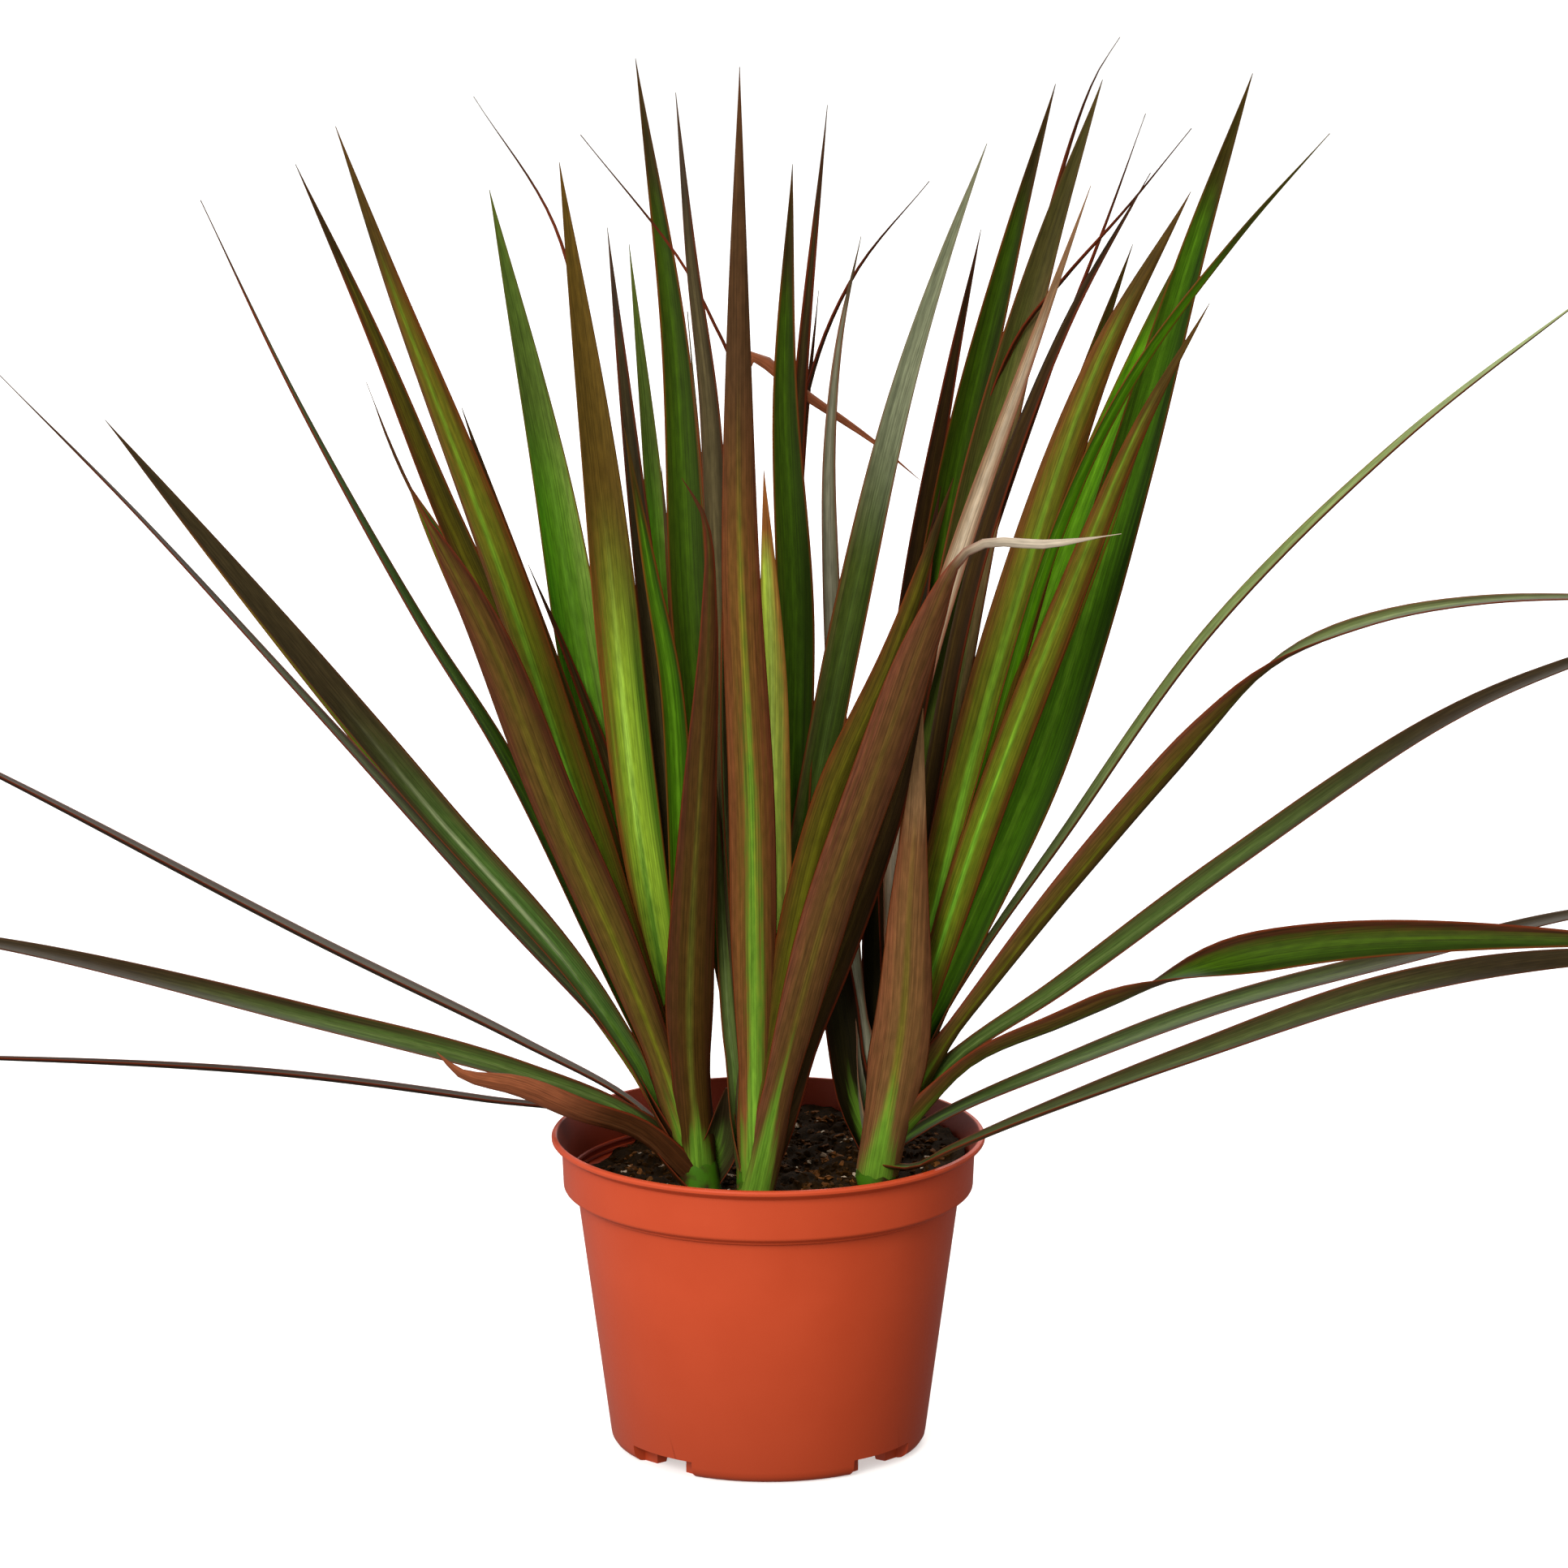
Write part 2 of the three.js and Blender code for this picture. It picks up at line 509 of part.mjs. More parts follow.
function leafSolids(shoot) {
  const draw = drawer(shoot.seed);
  const stem = stemCurve(shoot);
  const reach = stem.getPoint(1).z - stem.getPoint(0).z;
  const solids = [];
  shoot.leaves.forEach(([height, width, rootTurn, tipTurn, points, { shape = STRAP, behind } = {}]) => {
    const root = stem.getPoint(Math.min(HIGHEST_ROOT, height / reach));
    const line = [root, ...points.map(onSightLine)];
    solids.push(bladeSolid(line, width, [rootTurn, tipTurn], shape));
    if (behind !== undefined) {
      const hidden = points.map(([x, z], index) => {
        const share = (index + 1) / points.length;
        return [x, z, THREE.MathUtils.lerp(root.y, behind, share)];
      });
      const turn = (draw() * 2 - 1) * BEHIND_TURN;
      const hiddenLine = [root, ...hidden.map(onSightLine)];
      solids.push(bladeSolid(hiddenLine, width * BEHIND_WIDTH, [turn, turn / 2], shape));
    }
  });
  return solids;
}

function shootSolid(shoot) {
  return fuse([stemSolid(shoot), ...leafSolids(shoot)]);
}

// The assembly

function namedMesh(name, solid, colour, roughness) {
  const material = new THREE.MeshStandardMaterial({ color: colour, roughness, metalness: 0 });
  const mesh = new THREE.Mesh(toGeometry(solid), material);
  mesh.name = name;
  return mesh;
}

const plant = new THREE.Group();
plant.add(namedMesh('pot', potSolid(), COLOURS.pot, 0.45));
plant.add(namedMesh('potting_mix', mixSolid(), COLOURS.mix, 0.95));
SHOOTS.forEach((shoot) => {
  plant.add(namedMesh(shoot.name, shootSolid(shoot), shoot.colour, 0.4));
});

export default plant;
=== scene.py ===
"""A potted Madagascar dragon tree: three shoots of long narrow leaves in a terracotta coloured pot.

Sizes are in millimetres here and turned to Blender's metres where a mesh is made. Angles are in
degrees, unless a comment says radians. +Z is up, the origin is the middle of the pot's foot, +X is to
the right and -Y is the front.
"""

import math

import bpy
import numpy as np
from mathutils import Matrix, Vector, noise


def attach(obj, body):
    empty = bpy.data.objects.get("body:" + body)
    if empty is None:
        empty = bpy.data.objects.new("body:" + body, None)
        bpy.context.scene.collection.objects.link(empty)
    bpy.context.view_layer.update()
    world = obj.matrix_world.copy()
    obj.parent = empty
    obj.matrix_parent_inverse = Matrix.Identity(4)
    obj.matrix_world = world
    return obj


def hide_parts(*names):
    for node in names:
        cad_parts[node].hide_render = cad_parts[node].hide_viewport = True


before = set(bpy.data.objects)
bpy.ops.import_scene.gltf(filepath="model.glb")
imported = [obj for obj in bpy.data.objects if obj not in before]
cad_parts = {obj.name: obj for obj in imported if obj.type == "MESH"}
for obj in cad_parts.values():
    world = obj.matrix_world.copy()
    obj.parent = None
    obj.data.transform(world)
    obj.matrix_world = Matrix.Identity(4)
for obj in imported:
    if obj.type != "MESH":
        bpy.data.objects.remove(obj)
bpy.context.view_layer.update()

MM = 0.001

# Pot
POT_HEIGHT = 77
RIM_RADIUS = 52.5
RIM_THICKNESS = 1.6
COLLAR_RADIUS = 49.6
SHOULDER_HEIGHT = 64.7
BODY_TOP_RADIUS = 46.2
BODY_TOP_HEIGHT = 62
BODY_FOOT_RADIUS = 38.4
FOOT_RADIUS = 36.2
FOOT_CORNER = 3
WALL = 1.2
FOOT_RING_WIDTH = 4.5
FOOT_SLOPE = 1
CENTRE_PAD_RADIUS = 17
FLOOR_LIFT = 3
FLOOR_THICKNESS = 1.4
LEDGE_WIDTH = 1.4
LEDGE_HEIGHT = 62.9
LEDGE_EDGE = 0.4
SHOULDER_EDGE = 1
COLLAR_FLARE = 0.4
RIM_BLEND = 1.2
RIM_UNDERCUT = 0.2
LIP_WIDTH = 1.1
LIP_EDGE = 0.5
LIP_DEPTH = 3.4
BEAD_HEIGHTS = (66.3, 64.3)
BEAD_STANDS = 0.6
BEAD_WIDTH = 1.1
DRAIN_RADIUS = 3
DRAIN_CIRCLE = 24.5
DRAIN_SIDES = 21
CUT_MARGIN = 2
POT_SIDES = 144
ARC_STEPS = 5
WALL_STEPS = 8
SHARP_ANGLE = 32

# Each notch is a gap right through the foot ring, in the middle of a wider and shallow recess.
NOTCH_HEIGHT = 4.3
NOTCH_ANGLE = 29
NOTCH_RECESS = 1
NOTCH_GAP_ANGLE = 16
NOTCH_AZIMUTHS = (-43, 47, 137, 227)

# Potting mix
MIX_TOP = 67.5
MIX_SLOPE_X = 0.1
MIX_SLOPE_Y = 0.045
LUMP_HEIGHT = 0.72
LUMP_WAVE_X = 0.42
LUMP_WAVE_Y = 0.37
LUMP_SHIFT = 1
CROSS_LUMP = 0.6
CROSS_WAVE_X = 0.9
CROSS_WAVE_Y = 0.71
CLOD_SIZE = 5.5
CLOD_HEIGHT = 1.2
CRUMB_SIZE = 1.7
CRUMB_HEIGHT = 0.7
MIX_SHOULDER = 54
MIX_WALL_STEPS = 6
MIX_SIDES = 132
MIX_RINGS = 52
MIX_GAP = 0.3
CHIP_MARGIN = 2

# Leaves. The channel's and the sheath's angle are in radians, from the middle of a section to its edge.
BLADE_THICKNESS = 0.7
CHANNEL_RISE = 0.16
CHANNEL_ANGLE = 0.64
NARROW_SHARE = 0.5
SHEATH_LENGTH = 30
SHEATH_ANGLE = 1.75
SHEATH_FROM = 0.35
SHEATH_TO = 0.9
ROOT_RADII = (1.2, 0.95)
LEAST_STEPS = 20
LEAST_HALF_WIDTH = 0.05
SIDES_BLEND = 0.4
TIP_BLEND = 0.45
LEAST_FOOT = 0.1
GRAIN_BETWEEN_LEAVES = 37
GRAIN_BETWEEN_FACES = 11
THREAD_ENDS_FROM = 0.9
STEP_LENGTH = 4.5
TIP_FROM = 0.85
TIP_THICKNESS = 0.35
BEHIND_TURN = 24
BEHIND_WIDTH = 0.86
BEHIND_LOOKS = ("green", "bronze")
SECTION_POINTS = 16
HIGHEST_ROOT = 0.94

# Stems. Where one flares and comes to a point is given as a share of its length.
STEM_DEPTH = 22
STEM_STEPS = 44
STEM_SIDES = 24
STEM_SHARE = 0.94
RING_SPACING = 3.2
RING_SHARE = 0.04
FLARE_SHARE = 0.24
FLARE_OPENS = (0.3, 0.38)
FLARE_CLOSES = (0.46, 0.6)
POINT_FROM = 0.75
POINT_SHARE = 0.05
POINT_CAP = 0.3

# How leaves widen, taper and turn along their length, from 0 at the root to 1 at the tip. A thread is
# the share of its width that a dried tip keeps.
STRAP = {"widest": 0.36, "taper_from": 0.5, "taper_to": 1, "power": 1.6, "thread": 0,
         "turn_from": 0, "turn_to": 1}
SHAPES = {
    "strap": STRAP,
    "spike": {**STRAP, "widest": 0.24, "taper_from": 0.24, "power": 0.95},
    "spear": {**STRAP, "widest": 0.26, "taper_from": 0.26, "power": 1.3},
    "lance": {**STRAP, "widest": 0.26, "taper_from": 0.26, "power": 1.8},
    "thread_tipped": {**STRAP, "taper_from": 0.55, "taper_to": 0.83, "power": 2.2, "thread": 0.2},
    "whip_tipped": {**STRAP, "taper_from": 0.5, "taper_to": 0.84, "power": 2.6, "thread": 0.07},
    "flipped_near": {**STRAP, "turn_from": 0.31, "turn_to": 0.55},
    "flipped_far": {**STRAP, "turn_from": 0.42, "turn_to": 0.66},
}

# Where the plant is seen from, and the photograph that the camera repeats, with its width and its focal
# length in pixels.
EYE = np.array((3.8, -1800.0, 581.0))
CAMERA_DOWN = 13.06
PHOTO_SIZE = 1932
FOCAL_PIXELS = 9508
SENSOR = 36
FARTHEST_SEEN = 60000

# Each kind of leaf surface, seen with the tip upwards: the colours of the midrib, the strap beside it,
# the left and the right side and the tip, then how far along the leaf the tip's colour begins, and how
# many millimetres up its bright green foot reaches.
# In most looks the right side is darker than the left: partly the side's own colour, partly painted shade
# on the channel's darker half.
FACES = {
    "green": ("#6CA020", "#4A780E", "#3A5808", "#223C06", "#38300C", 0.84, 50),
    "deep": ("#46680A", "#324E04", "#2E3E04", "#203202", "#2C240A", 0.84, 35),
    "ridged": ("#46680A", "#324E04", "#3C1E0C", "#203202", "#2C240A", 0.84, 35),
    "bright": ("#7CB82A", "#5E9A0A", "#4A7E08", "#3C6A06", "#444A14", 0.8, 70),
    "frosted": ("#76AC34", "#5A8E18", "#46800E", "#708E34", "#4A5E20", 0.62, 80),
    "lime": ("#B4DE54", "#92B230", "#865A20", "#3A5A0C", "#5A4416", 0.42, 150),
    # The glow look is the leaf's own bright yellow green, painted lighter still as painted light that makes
    # up for the shade it stands in.
    "glow": ("#DCF880", "#CCEA5C", "#BCD048", "#B88A3C", "#A0602C", 0.85, 70),
    "sage": ("#8C9C62", "#66783C", "#4A4A22", "#3C3418", "#4A4428", 0.85, 45),
    "slate": ("#5E7038", "#4A5E28", "#3E401E", "#342A14", "#322614", 0.4, 50),
    "pale": ("#A2B072", "#8A9C58", "#7A8848", "#6E7A3C", "#8C9A60", 0.7, 60),
    "khaki": ("#566230", "#424A22", "#3C321A", "#322416", "#2E2414", 0.55, 25),
    # The sheen look's pale midrib is a painted reflection of the soft lights along the leaf.
    "sheen": ("#B2BE8A", "#507030", "#46401C", "#4A4422", "#3A301C", 0.36, 90),
    # The silver look's grey tip colour is a painted sheen over the upper part of the leaf.
    "silver": ("#42561C", "#34460E", "#4A4A20", "#26320A", "#72765A", 0.56, 70),
    "tawny": ("#56681E", "#45521A", "#3E3C16", "#6A5632", "#403A18", 0.7, 60),
    "grey": ("#B4B096", "#9A967C", "#7C7A60", "#6C684E", "#4A4430", 0.9, 30),
    "drab": ("#645838", "#4C4228", "#443824", "#382E1E", "#3C3226", 0.85, 25),
    "dusk": ("#5A5228", "#40361A", "#36220E", "#2E1C0C", "#2A2012", 0.85, 30),
    # The shaded look is painted shade: dark brown leaves painted near black with the shadow they lie in.
    "shaded": ("#2A240A", "#1E1A08", "#1E1408", "#1A0E06", "#1A0E06", 0.9, 30),
    "umber": ("#4A3814", "#38260E", "#301C0C", "#281608", "#241608", 0.85, 15),
    "bronze": ("#6A6A18", "#5C4A1A", "#5C341E", "#4C2816", "#3E2A16", 0.82, 35),
    "folded": ("#62541C", "#583C1C", "#643824", "#52301C", "#C8B8A0", 0.79, 60),
    "wine": ("#56561A", "#46300E", "#482614", "#3C1E0E", "#3E2412", 0.9, 26),
    "rust": ("#7E8420", "#68481C", "#6C3E20", "#62341C", "#4C321C", 0.55, 220),
    "olive": ("#72B02C", "#5E6A12", "#664018", "#54380E", "#4A3612", 0.82, 70),
    "moss": ("#6C6A14", "#4C460A", "#50320E", "#38300A", "#30240C", 0.85, 35),
    "rose": ("#6E6620", "#77542E", "#78482C", "#6C4428", "#8E6A46", 0.7, 48),
    "withered": ("#5E3A20", "#4A2A14", "#48240E", "#40200C", "#8E5032", 0.35, 0),
    "straw": ("#E0D0B4", "#CCB698", "#B0906E", "#94745A", "#8A6848", 0.8, 0),
}


def leaf(upper, lower, height, width, turns, points, shape="strap", behind=None):
    """A leaf: the looks of its upper and lower face, the height of its root up the stem, its width, its
    turns at the root and the tip, and its points. A turn of 0 shows the upper face to the front, 180
    the lower face, and 90 or -90 the edge. A point is an x and a z in the upright plane through the
    pot's middle, as seen from EYE, and how far behind that plane it lies, from the root outwards.
    Another leaf may be hidden right behind it, with its tip at the depth behind."""
    return {"looks": (upper, lower), "height": height, "width": width, "turns": turns, "points": points,
            "shape": SHAPES[shape], "behind": behind}


LEFT_LEAVES = (
    # the low ones, arching out to the left
    leaf("dusk", "umber", 8, 9, (78, 82), ((-32, 84, 0), (-60, 100, 16), (-110, 125.5, 44),
         (-183, 165, 84), (-240, 194, 112))),
    leaf("slate", "wine", 5, 8.5, (40, 58), ((-32, 80.5, -16), (-60, 92, -22), (-110, 105.5, -34),
         (-183, 123.5, -50), (-236, 131, -60))),
    leaf("umber", "umber", 4, 7, (80, 84), ((-38, 80, -4), (-70, 85.5, 12), (-120, 92, 34),
         (-183, 95.5, 62), (-232, 96, 84))),
    leaf("withered", "withered", 6, 8, (120, 160), ((-30, 77, -19), (-45, 82, -24), (-60, 88.3, -28),
         (-74, 91.5, -30), (-80, 97, -31))),
    leaf("khaki", "umber", 14, 8, (62, 66), ((-35, 98.5, -12), (-70, 138, 4), (-110, 184, 26),
         (-150, 229.5, 50), (-182, 263, 68)), shape="spike"),
    leaf("sheen", "bronze", 12, 11, (48, 36), ((-45, 115, -16), (-80, 156.5, -22), (-120, 206, -30),
         (-157, 252, -36)), behind=120),
    leaf("deep", "wine", 16, 10, (52, 74), ((-62, 168, 4), (-84, 205, 18), (-112, 258, 40),
         (-133.5, 304.5, 58)), shape="spike"),
    # the upright ones
    leaf("green", "bronze", 14, 11.5, (172, 168), ((-35, 120, -23), (-51, 158, -30), (-67, 200, -38),
         (-87, 240, -45), (-95, 261, -48)), shape="whip_tipped", behind=104),
    leaf("green", "olive", 18, 11, (160, 150), ((-47, 165, -14), (-64, 218, -16), (-88, 283, -14),
         (-101.5, 322, -10))),
    leaf("moss", "moss", 20, 9, (40, 36), ((-50, 168, -6), (-76, 228, 8), (-94, 274, 20),
         (-111, 313, 32))),
    leaf("moss", "moss", 20, 7, (165, 158), ((-42, 160, -9), (-58, 210, -2), (-72.5, 255, 5))),
    leaf("dusk", "umber", 24, 4, (30, 30), ((-36, 160, -4), (-48, 195, 4), (-57, 217, 10))),
    leaf("frosted", "bronze", 24, 12.8, (12, 20), ((-41, 175, 2), (-52, 240, 22), (-65.5, 307, 42)),
         behind=122),
    leaf("lime", "bronze", 22, 12.5, (24, 20), ((-26, 120, -12), (-32, 160, -8), (-40, 240, 6),
         (-49, 313.5, 20))),
    leaf("umber", "umber", 26, 1.8, (30, 30), ((-30, 160, 4), (-42, 260, 30), (-50, 298, 40),
         (-69, 329, 50))),
    leaf("drab", "umber", 26, 6.5, (20, 16), ((-25, 170, 4), (-32.5, 245, 24), (-37.8, 298, 38))),
    leaf("green", "olive", 24, 7, (25, 20), ((-20.5, 125, -14), (-23, 185, -12), (-28, 215, -8),
         (-34, 250, -4))),
    leaf("frosted", "bronze", 28, 6.5, (8, 0), ((-22.5, 170, 12), (-27.5, 240, 38), (-32.7, 294, 56)),
         behind=92),
    leaf("sage", "bronze", 26, 3.5, (10, 10), ((-20, 160, 6), (-22, 195, 18), (-25.3, 241, 32))),
    # two that arch low behind the others, to the back left and straight back
    leaf("green", "bronze", 7, 8, (82, 80), ((-34, 83, 4), (-60, 92, 30), (-110, 105.5, 72),
         (-178, 122.5, 122), (-214, 128, 146))),
    leaf("green", "bronze", 6, 9, (-10, 16), ((-21, 92, 14), (-25, 116, 64), (-29, 134, 112),
         (-33, 147, 166))),
    # the broad one in front, with its curled tip, and the small one at its foot
    leaf("green", "wine", 12, 12.5, (184, 176), ((-19, 105, -24), (-16.5, 160, -31), (-14, 205, -34),
         (-15, 228, -34), (-20.5, 238, -32)), shape="spear", behind=108),
    leaf("khaki", "bronze", 5, 4.5, (10, 20), ((-11.5, 74, -19), (-10, 88, -20))),
)

FRONT_LEAVES = (
    leaf("green", "folded", 3, 12, (184, 176), ((5.5, 100, -31), (15, 135, -37), (27, 170, -43),
         (38, 202, -47), (46, 219, -49), (52, 222.3, -49), (66, 222, -48), (84, 224.5, -46)),
         shape="thread_tipped"),
    leaf("green", "rust", 8, 12, (182, 176), ((-3.5, 120, -28), (-4, 160, -31), (-6.5, 215, -32.5),
         (-7, 270, -33), (-6.6, 336, -33)), shape="lance", behind=96),
    leaf("green", "moss", 14, 9, (188, 176), ((6, 125, -28), (15, 160, -33), (30, 196, -38),
         (44, 238, -42))),
    leaf("dusk", "umber", 8, 7, (158, 140), ((6, 87, -22), (10, 101, -21), (19.5, 126, -20),
         (31, 160, -18), (42, 205, -14))),
    leaf("sage", "sage", 10, 5, (30, 35), ((-8.5, 95, -23), (-10.5, 120, -20), (-12.5, 165, -17))),
    leaf("glow", "bronze", 16, 9.5, (4, 0), ((1, 130, -20), (0.9, 160, -15), (1, 192, -10),
         (-1, 240, -4)), behind=122),
    leaf("sage", "sage", 20, 4, (70, 80), ((-9, 135, -19), (-11, 180, -15), (-9, 250, -4))),
    leaf("deep", "bronze", 20, 10, (6, 0), ((-14, 150, -8), (-18.5, 205, 8), (-22, 270, 28),
         (-31, 338, 48)), behind=134),
    leaf("green", "drab", 18, 7, (172, 160), ((-9.5, 150, -17), (-11.5, 205, -10), (-14, 255, 0),
         (-18, 290, 7), (-21.6, 330, 12))),
    leaf("sage", "sage", 18, 4, (80, 84), ((-11, 170, -12), (-14.5, 225, -3), (-19, 278, 8))),
    leaf("umber", "umber", 22, 1.8, (60, 60), ((-6, 180, -2), (-6.5, 230, 10), (-8, 264, 18),
         (-12.4, 274.5, 21), (-20.5, 290, 25), (-44, 320, 32))),
    leaf("deep", "bronze", 20, 10, (0, 6), ((3.5, 130, -12), (6.5, 200, 4), (4, 260, 20),
         (5.8, 313, 32)), behind=112),
    leaf("dusk", "umber", 24, 5, (20, 10), ((5, 160, 4), (7, 250, 36), (14, 327, 60))),
    leaf("umber", "umber", 24, 4, (40, 30), ((5, 160, 8), (7, 230, 36), (12, 283, 56))),
    leaf("umber", "umber", 24, 3.2, (60, 60), ((4, 180, 12), (8.5, 255, 40), (20, 286, 52),
         (38, 309, 60))),
    leaf("withered", "withered", 24, 7.5, (80, 150), ((-4, 180, 8), (-6.5, 235, 28), (-7, 261, 37),
         (-4, 267.5, 40), (8.3, 258.5, 40), (25.4, 246.5, 38), (36, 237.5, 36))),
    leaf("silver", "bronze", 20, 9, (-10, -4), ((7.5, 140, -10), (18.5, 200, 2), (30.7, 255, 14),
         (41, 289, 22), (51.5, 318, 28)), behind=104),
    # one that arches low behind the others
    leaf("green", "bronze", 7, 9, (12, -14), ((-3, 96, 20), (-4, 122, 72), (-6, 144, 122),
         (-5, 160, 172))),
)

RIGHT_LEAVES = (
    # the low ones, arching out to the right
    leaf("khaki", "bronze", 5, 11, (-82, -34), ((36, 68.6, -28), (43, 72.2, -32), (60, 79.8, -35),
         (100, 95.5, -42), (150, 113, -54), (190, 120, -63), (238, 121, -72))),
    leaf("slate", "bronze", 8, 8, (-50, -56), ((42, 81, -8), (70, 93.5, 4), (110, 109, 26),
         (160, 122.5, 54), (190, 130.5, 70), (236, 138, 94))),
    leaf("ridged", "bronze", 14, 11, (-112, -8), ((50, 95.5, -20), (70, 104.5, -26), (90, 113.3, -33),
         (104, 118.5, -37), (125, 123, -43), (150, 125.4, -50), (190, 125.3, -60), (222, 123, -68)),
         shape="flipped_near"),
    leaf("slate", "bronze", 16, 8.5, (-44, -56), ((45, 95.5, -13), (70, 113, -8), (110, 143.5, 2),
         (160, 178.5, 16), (190, 192.5, 24), (240, 208, 36))),
    leaf("sage", "bronze", 20, 8, (-142, -62), ((50, 110, -14), (72, 139, -11), (104, 177, -6),
         (121, 193.5, -3), (142, 203, 0), (170, 208.3, 5), (224, 209, 14)), shape="flipped_far"),
    leaf("pale", "bronze", 22, 7, (-72, -70), ((50, 120, -8), (70, 149.5, 6), (105, 200.5, 32),
         (150, 247, 62), (200, 287, 92))),
    # the broad short one in front
    leaf("green", "rose", 3, 15.5, (178, 184), ((32.5, 105, -25), (34, 135, -29), (35.5, 160, -31),
         (37, 182, -32)), shape="spear", behind=132),
    # the upright ones
    leaf("green", "olive", 20, 13, (174, 166), ((42, 140, -16), (57, 200, -16), (78, 265, -14),
         (99.5, 306.5, -12)), behind=116),
    leaf("umber", "umber", 24, 7, (130, 130), ((39, 165, -5), (50, 220, 4), (70, 274, 12),
         (90, 311, 18))),
    leaf("straw", "straw", 26, 6, (14, 14), ((31, 160, 2), (38, 195, 8), (47, 225, 16), (62, 268, 24),
         (76, 308, 32))),
    leaf("tawny", "bronze", 24, 13, (8, 0), ((38, 160, 2), (50, 232, 24), (64, 288, 40),
         (78.5, 333, 52)), behind=132),
    leaf("umber", "umber", 28, 3, (30, 30), ((42, 190, 16), (66, 300, 50), (76.5, 333, 60),
         (82.5, 343, 62))),
    leaf("deep", "bronze", 26, 11, (10, 6), ((34, 160, 10), (45, 240, 36), (57, 293, 54),
         (67.5, 332, 66))),
    leaf("umber", "umber", 26, 7, (20, 20), ((29, 150, 14), (34, 208, 38), (43, 262, 60),
         (50.2, 297.5, 72))),
    leaf("umber", "umber", 30, 2.2, (40, 40), ((44, 190, 14), (66, 262, 40), (80, 300, 52),
         (88.7, 325, 60))),
    leaf("umber", "umber", 28, 2.6, (60, 60), ((46, 230, 26), (58, 270, 34), (70, 286, 34),
         (84, 302, 30), (99.5, 321.5, 24))),
    leaf("green", "moss", 26, 8, (20, 20), ((46, 165, -3), (60, 216, 10), (77, 268, 24), (86, 294, 30)),
         behind=108),
    leaf("green", "bronze", 24, 14, (18, 14), ((49, 130, -11), (66, 172, -6), (85, 238, 6),
         (100, 292, 16), (113.7, 334.5, 22)), behind=118),
    leaf("bright", "bronze", 26, 11, (0, 0), ((52, 165, 2), (72, 225, 18), (90, 272, 32),
         (105, 306, 42))),
    leaf("bright", "bronze", 16, 6, (62, 50), ((50, 160, -17), (69, 226, -21), (86, 262, -24),
         (110, 295, -28), (132, 320.3, -32))),
    leaf("green", "olive", 16, 9, (170, 160), ((50, 150, -20), (70, 205, -24), (88, 250, -28),
         (104.3, 280, -32))),
    leaf("bright", "bronze", 20, 6, (6, 6), ((50, 150, -10), (64, 185, -10), (79, 222, -9),
         (92, 258, -8))),
    # two that arch low behind the others, to the back right and straight back
    leaf("green", "bronze", 12, 8, (-80, -82), ((46, 96, -2), (70, 113, 30), (110, 143.5, 74),
         (160, 178.5, 118), (196, 195, 146))),
    leaf("green", "bronze", 7, 9, (10, -12), ((30.5, 97, 20), (33, 124, 68), (35, 147, 118),
         (36, 163, 164))),
    # the ones in the shade behind the broad leaves of the middle, dark brown leaves painted near black with
    # that shade
    leaf("shaded", "shaded", 10, 9.5, (10, 0), ((20.5, 88, -12), (17, 110, -8), (11.5, 140, -1),
         (7.5, 166, 4))),
    leaf("shaded", "shaded", 14, 8, (10, 0), ((26, 100, -2), (26, 125, 6), (29, 160, 14), (35, 200, 22),
         (41, 236, 30))),
    leaf("grey", "grey", 16, 5.5, (30, 25), ((21.5, 112, -6), (17, 170, 8), (14.8, 215, 18),
         (14.5, 245, 24), (17, 272, 29), (22, 296, 33))),
)

# Each shoot: the stem's points from its foot in the mix to its top, its radius and its leaves.
SHOOTS = {
    "left": {"stem": ((-16, -15, 66), (-18, -14.5, 80), (-22, -13, 104)), "radius": 4.1,
             "leaves": LEFT_LEAVES, "seed": 11},
    "front": {"stem": ((-3, -23, 67), (-3, -23, 82), (-2.5, -20, 108)), "radius": 3.8,
              "leaves": FRONT_LEAVES, "seed": 23},
    "right": {"stem": ((26, -16, 70), (28, -15.5, 84), (32, -13, 108)), "radius": 4.3,
              "leaves": RIGHT_LEAVES, "seed": 37},
}


# Small helpers

def drawer(seed):
    """Repeatable draws from 0 to 1, each worked out from the one before it."""
    factor = 16807
    modulus = 2147483647
    state = seed
    while True:
        state = state * factor % modulus
        yield state / modulus


def smooth_step(low, high, value):
    share = np.clip((value - low) / (high - low), 0, 1)
    return share * share * (3 - 2 * share)


def blend(a, b, share):
    return a + (b - a) * share


def unit(vectors):
    return vectors / np.linalg.norm(vectors, axis=1)[:, None]


def around(radius, angle):
    """The x and the y of a point at that radius and that angle in radians."""
    return radius * math.cos(angle), radius * math.sin(angle)


def all_round(sides):
    """Angles in radians that are evenly spaced over a full turn."""
    return np.linspace(0, 2 * math.pi, sides, endpoint=False)


def linear(hex_colour):
    """An sRGB hex colour as the linear RGBA that Blender works in."""
    channels = [int(hex_colour[i:i + 2], 16) / 255 for i in (1, 3, 5)]
    return [c / 12.92 if c <= 0.04045 else ((c + 0.055) / 1.055) ** 2.4 for c in channels] + [1.0]


def feed(node, inputs):
    """Gives a node its inputs, each of them a link from another node or a value."""
    for name, value in inputs.items():
        if isinstance(value, bpy.types.NodeSocket):
            node.id_data.links.new(value, node.inputs[name])
        else:
            node.inputs[name].default_value = value


def add(tree, kind, inputs=None, output=0, **settings):
    """Adds a node with its settings and inputs, and returns one of its outputs."""
    node = tree.nodes.new(kind)
    for name, value in settings.items():
        setattr(node, name, value)
    feed(node, inputs or {})
    return node.outputs[output] if node.outputs else node


